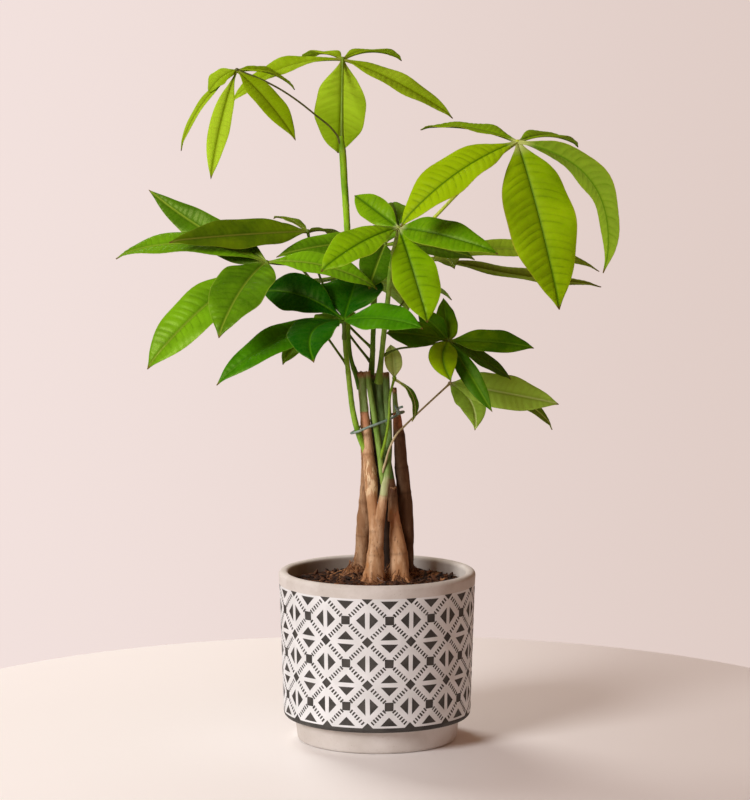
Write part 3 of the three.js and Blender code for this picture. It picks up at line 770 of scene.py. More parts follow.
def make_root_mat():
    """Fine feeder roots that hang from each trunk's foot and run out over the soil."""
    draw = np.random.default_rng(47)
    shape = Shape()
    for node, spec in TRUNKS.items():
        x, y, _, radius = spec["trunk"][2]
        wide = 1.7 if node == "trunk_left" else 1.0
        for _ in range(round(MAT_FIBRES * wide)):
            heading = draw.uniform(0, TURN)
            reach = draw.gamma(2.2, 1.5) * wide
            start = draw.gamma(2.4, 1.5)
            curl = draw.normal(0, 1.1)
            size = draw.uniform(0.12, 0.30)
            tone = draw.uniform(0, 0.85) if draw.uniform() < 0.99 else 1.0
            points = []
            for share in (0, 0.25, 0.5, 0.75, 1):
                angle = heading + curl * share
                out = radius + 0.1 + reach * share
                px, py = x + math.cos(angle) * out, y + math.sin(angle) * out
                level = float(soil_height(px, py)) + 0.5
                drop = (1 - share) ** 1.6
                weave = 0.6 * math.sin(9 * share + 7 * heading)
                points.append((px, py, level + start * drop + weave, size * (1 - 0.4 * share)))
            add_stem(shape, points, *MAT_TUBE, tone=tone)
    for route in LARGE_ROOTS:
        add_stem(shape, route, *LARGE_ROOT_TUBE, tone=0.62)
    shape.piece("feeder_roots", [root_paint()], "bark")


def make_straw():
    shape = Shape()
    add_stem(shape, STRAW, *WIRE_TUBE)
    shape.piece("straw", [straw_paint()], "soil")


# Trunks and shoots. A stem's points are x, y, z and radius. green is the height where its bark turns
# green, young is how fresh that green is, and tint runs from 0, a dark bark, to 1. toes are the bulges
# of the foot. shade gives heights and how much painted shade darkens the stem there, blush a rosy
# stretch and its amount, and flake and collar the amounts of pale flakes and of a pale ring where the
# green begins.

TRUNKS = {
    "trunk_front": dict(
        tint=0.85, green=253, toes=5, flake=0.8,
        trunk=[
            (-2.2, -14, 72, 7.4), (-2.2, -14, 108, 8), (-2.2, -14, 118, 8.3), (-2.2, -14, 128, 7.7),
            (-1.5, -14, 138, 6.8), (-1, -14, 150, 5.7), (-1.2, -14, 162, 4.9), (-2.4, -13.6, 172, 4.2),
            (-3.7, -12.8, 184, 4.1), (-4.3, -12, 193, 4.6), (-4.7, -11.3, 203, 4.9), (-5.7, -10.6, 212, 4.6),
            (-6.7, -10, 221, 4.2), (-7.5, -9.5, 232, 4), (-8.7, -9, 243, 3.7), (-9.9, -8.2, 254, 3.2),
            (-10.8, -7.5, 270, 3), (-11, -7, 282, 2.9)],
        shoots=[
            dict(green=191, cut=True, collar=0.9, shade=((205, 0.1), (222, 0.5), (270, 0.62)), points=[
                (0.2, -14.2, 142, 4.5), (0.6, -14.8, 156, 4.4), (1.9, -16.2, 170, 3.9),
                (3.7, -17.4, 182, 3.6), (5, -18, 191, 3), (6, -17.8, 199, 2.8), (7.4, -17, 208, 2.7),
                (8.6, -15.4, 221, 2.6), (8.8, -12.5, 239, 2.5), (7.6, -11, 261, 2.6), (6.6, -10, 282, 2.6)]),
            dict(green=150, young=0.45, cut=True, shade=((200, 0.2), (240, 0.38), (285, 0.5)), points=[
                (5, -17, 198, 1.5), (3.3, -18.2, 207, 1.7), (2.3, -18.6, 217, 1.9), (1, -18.3, 228, 2.1),
                (-0.8, -17.6, 241, 2.1), (-2.9, -16.6, 255, 2.1), (-5.4, -15, 269, 2), (-7, -13.5, 283, 2)]),
            dict(green=150, young=0.8, cut=False, points=[
                (-8, -9, 217, 1.3), (-10, -10.3, 225, 1.9), (-12.6, -12.3, 232, 2.2),
                (-15.5, -15, 241.5, 2.2), (-18.3, -16.2, 254, 2.1), (-20.3, -17.5, 270, 2),
                (-22, -18.7, 286, 1.9), (-23.7, -20.5, 300, 1.7), (-24.6, -23, 310, 1.5)])]),
    "trunk_left": dict(
        tint=0.5, green=266, toes=4,
        trunk=[
            (-14, 8, 72, 6.4), (-14, 8, 108, 7), (-13.8, 8, 118, 7.1), (-12.6, 7.6, 128, 6.4),
            (-11.4, 7, 140, 5.7), (-10.8, 6.3, 152, 5.6), (-10, 5.5, 168, 5.4), (-8.5, 4.5, 187, 4.8),
            (-8, 3.3, 210, 4.1), (-8.5, 2, 233, 3.8), (-10, 1.2, 256, 3.2), (-13.3, 0.5, 281, 2.9)],
        shoots=[
            dict(green=150, young=1.0, cut=False, shade=((270, 0.75), (308, 0.65), (330, 0)), points=[
                (-12.6, 0.6, 269, 2), (-15.6, 0.3, 279, 2), (-18.2, -0.3, 286, 1.7), (-20.3, -1, 294.5, 1.5),
                (-21.4, -1, 305, 1.6), (-22.3, 0.5, 318, 2.1), (-22.8, 4, 338, 2.4), (-23, 10, 367, 2.4),
                (-22.6, 12, 387, 2.4), (-23.4, 11.3, 404, 2.5), (-24.7, 10.5, 424, 2.6),
                (-26.2, 9.5, 449, 2.5), (-27.2, 9, 459, 1.9)])]),
    "trunk_right_front": dict(
        tint=0.9, green=200, toes=4, blush=(167, 180, 0.6),
        shade=((174, 0), (183, 0.75), (197, 0.8), (206, 0.68), (262, 0.74), (280, 0.6)),
        trunk=[
            (16.6, -5.5, 72, 6.6), (16.6, -5.5, 108, 7.2), (16.6, -5.5, 118, 7.6), (16.9, -5.5, 128, 7.5),
            (16.6, -5.3, 140, 7), (15.8, -5, 150, 6.1), (14.4, -4.3, 160, 4.9), (13.5, -3.5, 167, 4.2),
            (12.9, -2.8, 174, 3.8), (11.8, -1.5, 184, 3.8), (10.2, 0, 196, 3.7), (7.5, 2.2, 212, 3.5),
            (5.5, 3, 233, 3.4), (3, 2.5, 256, 3.1), (1, 1.5, 280, 2.9)],
        shoots=[
            dict(green=400, cut=True, shade=((174, 0), (183, 0.7), (194, 0.85)), points=[
                (11.5, -3, 168, 3.6), (12, -4.2, 181, 3.2), (12.2, -4.8, 193.5, 2.5)]),
            dict(green=150, young=0.7, cut=False, points=[
                (1, 1.5, 273, 2.5), (3, -3, 291, 2), (5, -10, 311, 2), (8, -20, 338, 1.9),
                (10, -30, 361, 1.8), (12, -37, 374, 1.6)])]),
    "trunk_right_back": dict(
        tint=0.12, green=252, toes=4,
        trunk=[
            (23.4, 8, 72, 6.2), (23.4, 8, 108, 6.6), (23.2, 8, 118, 6.4), (22.6, 8, 128, 5.7),
            (22.4, 8, 148, 5.6), (22, 7.5, 167, 5.9), (20.6, 7, 187, 5.6), (18.4, 6, 210, 5),
            (16.7, 4.5, 233, 4.2), (15.2, 3, 246, 3.2), (13.9, 1.5, 256, 2.1), (13.1, 0.5, 269, 1.7)],
        shoots=[]),
    "trunk_back": dict(
        tint=0.12, green=235, toes=4, shade=((100, 1.0), (230, 0.95), (279, 0.7)),
        trunk=[
            (9, 17, 72, 6.4), (9, 17, 108, 7), (9, 17, 118, 7.2), (8.7, 16.5, 128, 6.3), (8, 15, 148, 5.6),
            (6.5, 13.8, 168, 5), (4.3, 12.3, 188, 4.5), (1.8, 11, 210, 4.1), (-0.5, 10, 233, 3.8),
            (-2.5, 9.5, 256, 3.4), (-5, 9, 279, 3)],
        shoots=[
            dict(green=150, young=0.7, cut=False, shade=((272, 0.6), (300, 0.35), (364, 0.2)), points=[
                (-5, 9, 272, 2.5), (-3.5, 9, 294, 2), (-3, 9, 309, 1.9), (-2, 9, 332, 1.8), (0, 10, 351, 1.6),
                (3, 9, 364, 1.4)])]),
}

LARGE_ROOTS = [
    [(-6, -17, 131, 1.8), (-9, -19, 126.5, 1.9), (-11.5, -21, 123.6, 1.4), (-14, -22.5, 121, 0.8)],
    [(-13, 3, 131, 1.4), (-16.5, 0, 127, 1.5), (-20, -2.5, 124.5, 1.1), (-24, -4, 122.4, 0.7)],
    [(-18, 6, 130, 1.3), (-22, 5, 126.5, 1.3), (-26, 3, 123.6, 0.8)],
    [(14, -11, 129, 1.1), (12.5, -14, 125, 1.2), (11, -17, 121.5, 0.8)],
    [(20, -10, 128.5, 1.2), (22.5, -13, 124.6, 1.2), (25, -15.5, 121.5, 0.8)],
]


def bark_paint():
    paint = Paint("bark", 0.62, 0.28)
    tint, green, ring, young, dry = (paint.value(key) for key in ("tint", "green", "ring", "young", "dry"))
    streak = paint.noise((420, 420, 90), 5, 0.65)
    patch = paint.noise((150, 150, 45), 4, 0.6)
    fleck = paint.span(paint.cells((520, 520, 260)), 0.08, 0.26, 1.0, 0.0)
    scar = paint.span(paint.cells((62, 62, 46)), 0.06, 0.17, 1.0, 0.0)

    def tinted(dark, light):
        return paint.blend(tint, dark, light)

    brown = tinted((0.052, 0.018, 0.004), (0.54, 0.285, 0.135))
    light = tinted((0.098, 0.040, 0.012), (0.84, 0.55, 0.33))
    deep = tinted((0.014, 0.004, 0.001), (0.16, 0.062, 0.020))
    bark = paint.blend(paint.span(patch, 0.42, 0.66), brown, light)
    bark = paint.blend(paint.span(streak, 0.56, 0.74, 0.0, 0.75), bark, deep)
    bark = paint.cover(bark, deep, fleck, 0.4)
    bark = paint.cover(bark, deep, ring, 0.75)
    bark = paint.cover(bark, tinted((0.20, 0.06, 0.012), (0.56, 0.24, 0.07)), scar, 0.7)
    flake = paint.span(paint.noise((260, 260, 75), 3, 0.6), 0.50, 0.57)
    bark = paint.cover(bark, (0.90, 0.68, 0.42), flake, paint.value("flake"))
    rosy = tinted((0.50, 0.17, 0.07), (0.64, 0.27, 0.14))
    bark = paint.cover(bark, rosy, paint.value("blush"), paint.span(patch, 0.36, 0.6, 0.15, 0.85))
    foot = paint.span(paint.sum("MULTIPLY_ADD", patch, 0.020, paint.part("Z")), 0.133, 0.144, 1.0, 0.0)
    bark = paint.cover(bark, tinted((0.06, 0.02, 0.006), (0.46, 0.19, 0.065)), foot, 0.7)
    fresh = paint.blend(paint.span(patch, 0.38, 0.68), (0.20, 0.31, 0.07), (0.48, 0.61, 0.26))
    fresh = paint.blend(paint.span(streak, 0.58, 0.8, 0.0, 0.5), fresh, (0.46, 0.46, 0.25))
    fresh = paint.cover(fresh, (0.36, 0.25, 0.12), ring, 0.6)
    shoot = paint.blend(paint.span(patch, 0.35, 0.68), (0.16, 0.37, 0.002), (0.36, 0.64, 0.015))
    shoot = paint.cover(shoot, (0.40, 0.42, 0.10), ring, 0.35)
    edge = paint.span(paint.sum("ADD", green, paint.times(patch, 0.4)), 0.55, 0.85)
    rust = paint.times(paint.times(edge, paint.sum("SUBTRACT", 1.0, edge)), 3.0)
    body = paint.blend(edge, bark, paint.blend(young, fresh, shoot))
    body = paint.blend(rust, body, tinted((0.16, 0.05, 0.015), (0.42, 0.17, 0.07)))
    collar = paint.span(patch, 0.3, 0.6, 0.5, 1.0)
    body = paint.cover(body, (0.66, 0.66, 0.38), paint.value("collar"), collar)
    dried = paint.blend(paint.span(streak, 0.4, 0.6), (0.30, 0.09, 0.03), (0.66, 0.36, 0.22))
    body = paint.cover(body, dried, dry, 0.9)
    # Painted shade: darker in the crevices between trunks (near) and over each stem's shade stretches.
    near = paint.times(paint.value("near"), paint.span(edge, 0.0, 1.0, 0.85, 0.3))
    shadow = paint.blend(edge, (0.12, 0.08, 0.045), (0.09, 0.22, 0.05))
    shadow = paint.blend(1.0, body, shadow, "MULTIPLY")
    body = paint.blend(paint.sum("MAXIMUM", paint.value("shade"), near), body, shadow)
    return paint.finish(body, paint.sum("MULTIPLY_ADD", streak, -0.7, paint.times(fleck, -0.5)), 0.55, 0.8)


def cut_paint():
    return grained("cut_wood", 0.8, (600, 4, 0.7), (0.3, 0.7), (0.30, 0.12, 0.05), (0.62, 0.36, 0.20),
                   distance=0.5, strength=0.8)


def node_rings(along, seed, spacing):
    """Leaf scars along a stem: 1 at each scar, falling to 0 beside it."""
    phase = along / spacing + 0.37 * seed + 0.22 * np.sin(along * 0.09 + seed)
    offset = np.abs(phase - np.round(phase)) * spacing
    return np.exp(-(offset / 0.8) ** 2)


def crevices(points, node):
    """How close each point is to the other trunks, which sets the painted shade in the crevices: 1 where they
    touch, 0 where they are well apart.
    """
    gap = np.full(len(points), 99.0)
    for other, spec in TRUNKS.items():
        if other == node:
            continue
        centres, radii = stem_rings(spec["trunk"], 3.0)[:2]
        apart = np.linalg.norm(points[:, None] - centres[None], axis=2) - radii
        gap = np.minimum(gap, apart.min(axis=1))
    return 1 - smooth_step(0.5, 7.0, gap)


def between(low, high, amount):
    """An amount on the stretch of a stem between two heights."""
    return lambda centres, along: (amount * smooth_step(low - 6, low + 3, centres[:, 2])
                                   * (1 - smooth_step(high - 2, high + 2, centres[:, 2])))


def shaded(stops):
    levels, amounts = zip(*stops)
    return lambda centres, along: np.interp(centres[:, 2], levels, amounts)


def green_from(level):
    return lambda centres, along: smooth_step(level - 5, level + 3, centres[:, 2])


def scarred(seed, spacing):
    return lambda centres, along: 0.5 * node_rings(along, seed, spacing)


def dried(centres, along):
    """The last few millimetres below a cut."""
    return smooth_step(along[-1] - 5.0, along[-1] - 1.8, along)


def make_trunk(node, spec, materials):
    shape = Shape()
    seed = sum(map(ord, node))
    green, tint = spec["green"], spec["tint"]

    def relief(angle, centres, along):
        z = centres[:, 2][:, None]
        flare = np.exp(-((z - 119) / 9.0) ** 2)
        toe = flare * (0.9 + 1.5 * np.cos(spec["toes"] * angle + seed))
        bark = 0.30 * waves(angle, z, seed) * (1 - smooth_step(green - 8, green + 4, z))
        return toe + bark + 0.22 * node_rings(along, seed, RING_SPACING)

    blush = between(*spec.get("blush", (green - 11, green + 2, 1.0)))
    add_stem(shape, spec["trunk"], *TRUNK_TUBE, relief, 0, 1, green=green_from(green), tint=tint,
             ring=scarred(seed, RING_SPACING), dry=dried, ragged=seed, blush=blush,
             flake=between(190, 216, spec.get("flake", 0)), shade=shaded(spec.get("shade", CLEAR)))
    for k, shoot in enumerate(spec["shoots"]):
        add_shoot(shape, shoot, seed + k, tint)
    add_roots(shape, spec["trunk"][2], seed, tint)
    # near sets the painted shade in the crevices between trunks
    shape.values["near"] = [crevices(np.concatenate(shape.points), node)]
    shape.piece(node + "_stem", materials, "bark" if tint > 0.5 else "bark_dark", node)


def add_shoot(shape, shoot, seed, tint):
    thick = shoot["points"][0][3]
    cut = shoot["cut"]
    spacing = SLIM_SPACING if thick < SLIM_SHOOT else THICK_SPACING

    def relief(angle, centres, along):
        z = centres[:, 2][:, None]
        rough = 0.22 * waves(angle, z, seed) * (1 - smooth_step(185, 195, z) if thick > 4 else 0.25)
        collar = 0.9 * np.exp(-along / 6.0) if thick < SLIM_SHOOT else 0
        return rough + 0.2 * node_rings(along, seed, spacing) + collar

    add_stem(shape, shoot["points"], *SHOOT_TUBE, relief, 0, 1 if cut else 0, tint=tint,
             green=green_from(shoot["green"]), young=shoot.get("young", 0.15), ring=scarred(seed, spacing),
             dry=dried if cut else 0.0, ragged=seed if cut else None,
             shade=shaded(shoot.get("shade", CLEAR)),
             collar=between(shoot["green"], shoot["green"] + 13, shoot.get("collar", 0)))


def add_roots(shape, foot, seed, tint):
    """Fine roots that leave the trunk's foot and dive into the soil."""
    draw = np.random.default_rng(seed)
    x, y, z, radius = foot
    for _ in range(FOOT_ROOTS):
        heading = draw.uniform(0, TURN)
        reach = draw.uniform(3, 8)
        size = draw.uniform(0.5, 1.5)
        out = np.array([math.cos(heading), math.sin(heading)])
        points = []
        for share, lift, fat in ((0, 8, 1.3), (0.35, 5.2, 1.1), (0.7, 3.2, 0.9), (1, 0.2, 0.6)):
            place = np.array([x, y]) + out * (radius - 2.0 + reach * share)
            points.append((*place, z + lift, size * fat))
        add_stem(shape, points, *FOOT_ROOT_TUBE, green=0.0, tint=tint * 0.8, ring=0.0)


# Tie

TIE_LEFT = [
    (15.5, -9, 250.4), (12.5, -14.5, 249), (8, -18, 247.3), (3, -19.8, 245.6), (-3, -20.8, 243.5),
    (-9, -19.8, 241), (-14.5, -18.7, 238.5), (-19, -15.9, 237), (-18.8, -9, 236.5), (-16, -2, 237.5),
    (-13.5, 4, 239), (-8, 11, 241.5), (-3, 14.8, 244),
]
TIE_RIGHT = [
    (15.5, -9, 250.4), (19, -3.5, 251), (20.2, 1.5, 251), (19, 6.5, 250.5), (15, 10.3, 249), (8, 13.2, 247),
    (2, 15, 245.5), (-3, 14.8, 244),
]
TIE_TAILS = [
    [(15.5, -9, 250.4), (15.2, -11, 253), (16.4, -12.4, 255.6), (19.2, -13, 256.7)],
    [(15.5, -9, 250.4), (16.6, -11.6, 252.2), (15.2, -13.4, 254.2), (13.6, -13.6, 257.4)],
]
TIE_RADIUS = 0.95


def tie_paint():
    return grained("tie_coating", 0.45, (300, 4, 0.6), (0.4, 0.7), (0.15, 0.22, 0.18), (0.30, 0.38, 0.33),
                   distance=0.2, strength=0.5)


def make_tie():
    shape = Shape()
    for route in (TIE_LEFT, TIE_RIGHT, *TIE_TAILS):
        add_stem(shape, [(*p, TIE_RADIUS) for p in route], *WIRE_TUBE)
    shape.piece("tie_wire", [tie_paint()], "tie", "tie")


# Leaves. A leaf is its look, its stalk's points (x, y, z and radius) and its leaflets. A leaflet is its
# heading, rise, length, width, arch, roll and tone from 0 (deep) to 1 (bright), and where they aren't the
# usual ones, the place of its widest part and the turn of the blade about its midrib. The looks young and
# underside are the blades' own colours; the other looks, and the tones, are partly painted light and
# shade: lit and shaded copies of one leaf colour, with stalks darkened where they lie in shade.

LOOKS = {
    "bright": dict(
        joint=(0.72, 0.78, 0.26), lines=1.0, blade=(0.44, 0.68, 0.001), deep=(0.26, 0.47, 0.001),
        vein=(0.12, 0.26, 0.001), rib=(0.12, 0.28, 0.002), margin=(0.56, 0.5, 0.05), through=0.36, rough=0.46,
        shine=0.22, stalk=(0.62, 0.74, 0.05)),
    "fresh": dict(
        joint=(0.72, 0.78, 0.34), lines=0.9, blade=(0.33, 0.62, 0.001), deep=(0.13, 0.36, 0.001),
        vein=(0.06, 0.18, 0.001), rib=(0.08, 0.22, 0.002), margin=(0.55, 0.64, 0.06), through=0.3, rough=0.36,
        shine=0.3, stalk=(0.36, 0.46, 0.08)),
    "pale": dict(
        joint=(0.45, 0.5, 0.08), lines=0.45, blade=(0.66, 0.9, 0.05), deep=(0.38, 0.58, 0.002),
        vein=(0.34, 0.46, 0.003), rib=(0.32, 0.44, 0.004), margin=(0.6, 0.66, 0.05), through=0.5, rough=0.55,
        shine=0.2, stalk=(0.14, 0.15, 0.03)),
    "mid": dict(
        joint=(0.3, 0.4, 0.05), lines=0.6, blade=(0.24, 0.55, 0.006), deep=(0.055, 0.17, 0.001),
        vein=(0.05, 0.12, 0.001), rib=(0.28, 0.42, 0.03), margin=(0.36, 0.5, 0.05), through=0.24, rough=0.36,
        shine=0.3, stalk=(0.18, 0.28, 0.02)),
    "dark": dict(
        joint=(0.12, 0.28, 0.01), lines=0.3, blade=(0.1, 0.36, 0.001), deep=(0.003, 0.105, 0.001),
        vein=(0.015, 0.12, 0.001), rib=(0.08, 0.27, 0.003), margin=(0.22, 0.42, 0.03), through=0.18,
        rough=0.4, shine=0.22, stalk=(0.14, 0.27, 0.01)),
    "olive": dict(
        joint=(0.22, 0.28, 0.03), relief=0.4, lines=0.15, blade=(0.2, 0.33, 0.003), deep=(0.035, 0.1, 0.001),
        vein=(0.06, 0.12, 0.001), rib=(0.24, 0.27, 0.03), margin=(0.28, 0.36, 0.03), through=0.26, rough=0.46,
        shine=0.2, stalk=(0.12, 0.19, 0.015)),
    "young": dict(
        joint=(0.5, 0.6, 0.2), lines=0.3, blade=(0.86, 1.0, 0.36), deep=(0.12, 0.32, 0.01),
        vein=(0.5, 0.6, 0.14), rib=(0.8, 0.88, 0.35), margin=(0.4, 0.2, 0.06), through=0.3, rough=0.55,
        shine=0.2, stalk=(0.26, 0.44, 0.02)),
    "underside": dict(
        joint=(0.6, 0.66, 0.25), lines=0.35, blade=(0.56, 0.84, 0.11), deep=(0.2, 0.38, 0.01),
        vein=(0.38, 0.54, 0.06), rib=(0.72, 0.86, 0.3), margin=(0.5, 0.62, 0.12), through=0.3, rough=0.55,
        shine=0.2, stalk=(0.62, 0.5, 0.28)),
}
LOOKS["crown"] = dict(LOOKS["pale"], stalk=(0.2, 0.33, 0.01))
LOOKS["shaded"] = dict(LOOKS["olive"], blade=(0.44, 0.66, 0.001), deep=(0.045, 0.18, 0.001),
                       vein=(0.06, 0.2, 0.001), rib=(0.14, 0.3, 0.01), stalk=(0.16, 0.24, 0.03))
LOOKS["distant"] = dict(LOOKS["mid"], blade=(0.42, 0.62, 0.03), deep=(0.12, 0.2, 0.004), rib=(0.3, 0.4, 0.03))

LEAVES = {
    "leaf_top": ("crown", [
        (-26.6, 10, 455, 1.4), (-26.4, 16, 487, 1), (-26, 28, 517, 0.9)], [
        (97, -65, 81, 39, 6, -170, 0.8, 0.48), (-12, -27, 96, 21, 5, 32, 0.45), (56, -1, 81, 22, 6, 0, 0.2),
        (163, -21, 98, 29, 11, -30, 0.3, 0.6), (114, -3, 79, 20, 6, 0, 0.3)]),
    "leaf_top_left": ("pale", [
        (-27, 8.8, 453, 1.1), (-30.5, 8, 460.5, 0.75), (-34.8, 7, 465.8, 0.75), (-45.6, 5, 474.8, 0.7),
        (-59.1, 3, 485.6, 0.7), (-71.2, 2, 493.8, 0.7), (-88, 1, 502.5, 0.75), (-105, 0, 509, 0.9)], [
        (-169, -54, 74, 9, 8, -28, 0.5), (-108, -54, 97, 16, 9, -10, 1.15, 0.58),
        (-45, -38, 81, 21, 4, 20, 0.1), (25, -17, 50, 20, 6, 15, 0.2), (-164, -38, 28, 20, 4, -25, 0.4)]),
    "leaf_upper_right": ("bright", [
        (10, -31, 363, 1.5), (21, -38, 381, 1.4), (38, -42, 397, 1.3), (67.5, -48, 427.5, 1.2),
        (89.5, -54, 447.5, 1.1), (103, -60, 458, 1.2)], [
        (-50, -69, 129, 51, 8, 30, 0.55, 0.46), (-160, -33, 110, 39, 10, -30, 1.0, 0.52),
        (-18, -55, 116, 37, 31, 5, 0.2, 0.5, 50), (142, 5, 90, 29, 5, -5, 0.15),
        (53, -4, 81, 24, 6, 10, 0.15)]),
    "leaf_center": ("fresh", [
        (12, -37, 374, 1.7), (14, -44, 385, 1.5), (16, -50, 394, 1.4)], [
        (-61, -57, 79, 35, 5, 15, 0.88, 0.57), (-144, -22, 76, 31, 7, -30, 0.65, 0.56),
        (-28, -11, 83, 27, 6, 45, 0.25, 0.42), (138, 27, 50, 21, 2, -50, 0.45),
        (95, 16, 58, 16, 3, -5, 0.2)]),
    "leaf_left": ("mid", [
        (-3, 9, 298, 1.1), (-12, 13, 306, 1), (-24, 15, 318, 1), (-40, 9, 337, 1), (-52, 2, 354, 1),
        (-60, -8, 363, 1), (-68, -22, 365, 1), (-76, -34, 366.5, 1), (-82, -40, 368, 1.1)], [
        (170, 1, 116, 28, 15, -30, 0.55), (150, 26, 117, 26, 5, -150, 0.15, 0.38, -90),
        (-155, -38, 122, 36, 12, -38, 0.68, 0.57), (-119, -36, 85, 45, 8, -10, 0.35, 0.45),
        (-3, -13, 85, 25, 9, 35, 0.9)]),
    "leaf_left_back": ("olive", [
        (-4, 9, 287, 1.1), (-21, 10, 309, 0.9), (-41, 3, 348, 0.9), (-50, -7, 377, 0.9),
        (-52, -12, 389, 1)], [
        (-154, -2, 112, 30, 0, -42, 0.55, 0.46), (112, 5, 74, 13, 3, 6, 0.6), (68, -14, 80, 16, 7, 6, 0.5),
        (178, 0, 62, 16, 3, -30, 0.3)]),
    "leaf_lower_left": ("dark", [
        (-24.6, -23, 309, 1.5), (-24.8, -26.5, 317, 1.4), (-24.9, -30, 323.5, 1.4)], [
        (-157, -23, 111, 28, 13, -32, 0.62), (-109, -20, 70, 37, 13, 55, 0.1, 0.5, 55),
        (-36, -1, 72, 30, 5, 35, 0.62, 0.48), (72, 42, 47, 50, 2, 0, 0.25, 0.58),
        (161, 17, 68, 34, 9, -20, 0.05, 0.6, 30)]),
    "leaf_right": ("shaded", [
        (3.5, -4, 294, 1), (15, 0, 299, 0.8), (26, 6, 300, 0.8), (42, 8, 302, 0.8), (54.2, 5, 304.8, 0.9)], [
        (98, 50, 40, 17, 2, -5, 0.35, 0.32), (168, 42, 32, 17, 3, -65, 0.05),
        (-157, 9, 52, 23, 4, -60, 0.1, 0.62), (-88, -37, 44, 22, 6, 60, 0.7, 0.48, 60),
        (-43, -49, 67, 15, 3, 55, 0.0), (28, -30, 64, 15, 2, 55, 0.1), (-5, -4, 65, 21, 3, 50, 0.22)]),
    "leaf_lower_right": ("underside", [
        (3.2, -18.3, 206, 0.95), (6.2, -20.3, 215, 0.9), (8.6, -21, 224, 0.85), (13.9, -20.5, 235.5, 0.8),
        (20.3, -12, 241.5, 0.8), (29, 3, 248, 0.75), (56, 35, 269, 0.8)], [
        (-38, -55, 42, 24, 7, -30, 0.55, 0.4, -60), (3, -11, 86, 29, 3, 62, 1.05, 0.45),
        (26, -24, 100, 18, 14, 50, 0.1)]),
    "leaf_young": ("young", [
        (2, -18, 216, 1.3), (4.4, -20.5, 225, 1.2), (6.5, -22, 234, 1.1), (8.6, -22.4, 247, 1),
        (9.8, -18, 266, 0.95), (13, -9, 278, 0.9)], [
        (97, 47, 32, 13.5, 2, 0, 1.0, 0.46), (-8, -67, 36, 11, 8, 20, 0.1, 0.62)]),
    "leaf_right_back": ("distant", [
        (5.5, -12, 315, 1.1), (19, 8, 333, 0.9), (33, 32, 350, 0.9), (45, 55, 364, 0.9)], [
        (2, -4.4, 128, 18, 15, 40, 0.55, 0.42), (17, -10, 139, 25, -3, 20, 0.45),
        (-75, -4, 52, 20, 3, 10, 0.4), (71, 1, 90, 26, 6, 0, 0.6)]),
    "leaf_center_back": ("mid", [
        (3, 9, 364, 1.4), (5, 7.5, 371, 1.3), (6, 6, 378, 1.2)], [
        (-156, -4, 89, 22, 5, -40, 0.45), (-112, -44, 45, 28, 5, -20, 0.1), (-3, -9, 69, 24, 5, 35, 0.25),
        (82, 4, 81, 28, 6, 0, 0.4)]),
    "leaf_inner_left": ("mid", [
        (-22, -18.5, 288, 1.1), (-30, -8, 298, 0.9), (-35, 2, 304, 0.9), (-40, 10, 310, 0.9)], [
        (-148, -30, 43, 24, 6, -15, 0.4), (112, -10, 70, 28, 6, 0, 0.4), (81, 2, 96, 30, 6, 0, 0.4)]),
    "leaf_back": ("mid", [
        (-2.5, 9, 320, 1.2), (-4, 24, 332, 1), (-6, 42, 342, 1), (-8, 56, 348, 1)], [
        (25, -14, 76, 28, 6, 0, 0.45), (68, -20, 94, 34, 8, 0, 0.55, 0.52),
        (110, -22, 98, 34, 8, 0, 0.5, 0.52), (152, -14, 78, 28, 6, 0, 0.35)]),
}

BRIGHT_LEAVES = ("leaf_top", "leaf_top_left", "leaf_upper_right", "leaf_center", "leaf_young")


def blade_paint(name, look, under):
    """Upper or under side of a blade. Veins follow the mesh's own lines, so they sit in its grooves, with
    painted shade darkening the blade round them and beside the midrib.
    """
    paint = Paint(name, look["rough"] + (0.2 if under else 0), look["shine"])
    paint.put(paint.shader.inputs["Specular Tint"], (0.85, 1.0, 0.28))
    psi, off_rib, along, edge = (paint.value(key) for key in ("psi", "off_rib", "along", "edge"))
    wide = paint.noise(38, 4, 0.6)
    patchy = paint.noise(160, 3, 0.6)
    wave = paint.sum("PINGPONG", psi, 0.5)
    fade = paint.times(paint.value("force"), paint.span(patchy, 0.3, 0.62, 0.35, 1.0))
    lateral = paint.times(paint.span(wave, 0.0, 0.11, 1.0, 0.0), fade)
    vein_groove_shade = paint.times(paint.span(wave, 0.0, 0.32, 1.0, 0.0), fade)
    net = paint.span(paint.cells(620), 0.32, 0.55)
    share = paint.sum("MULTIPLY_ADD", paint.sum("SUBTRACT", wide, 0.5), 1.3, paint.value("tone"))
    base = paint.blend(paint.span(share, 0.0, 1.0), look["deep"], look["blade"])
    if under:
        base = paint.blend(0.22, base, (0.42, 0.50, 0.12))
    # Painted shade: dark is laid round the lateral veins and beside the midrib, in their grooves.
    dark = scaled(look["deep"], 0.72)
    for colour, cover, amount in (
            (dark, vein_groove_shade, 0.34 * look["lines"]),
            (dark, paint.span(off_rib, 0.6, 3.2, 1.0, 0.0), 0.30),
            (look["margin"], net, 0.07),
            (look["rib"] if under else look["vein"], lateral, 0.55 * look["lines"]),
            (look["rib"], paint.span(off_rib, 0.35, 1.15, 1.0, 0.0), 0.85),
            (look["margin"], paint.span(edge, 0.955, 0.99), 0.6)):
        base = paint.cover(base, colour, cover, amount)
    base = paint.blend(paint.span(along, 0.02, 0.10, 0.85, 0.0), base, look["joint"])
    base = paint.blend(paint.span(along, 0.965, 0.992, 0.0, 0.85), base, (0.20, 0.10, 0.03))
    paint.through(base, look["through"])
    return paint.finish(base, net, 0.06, 0.4)


def stalk_paint(name, look):
    return grained(name, 0.5, ((600, 600, 120), 4, 0.6), (0.3, 0.7), scaled(look["stalk"], 0.62),
                   look["stalk"], distance=0.15, strength=0.6, specular=0.3)


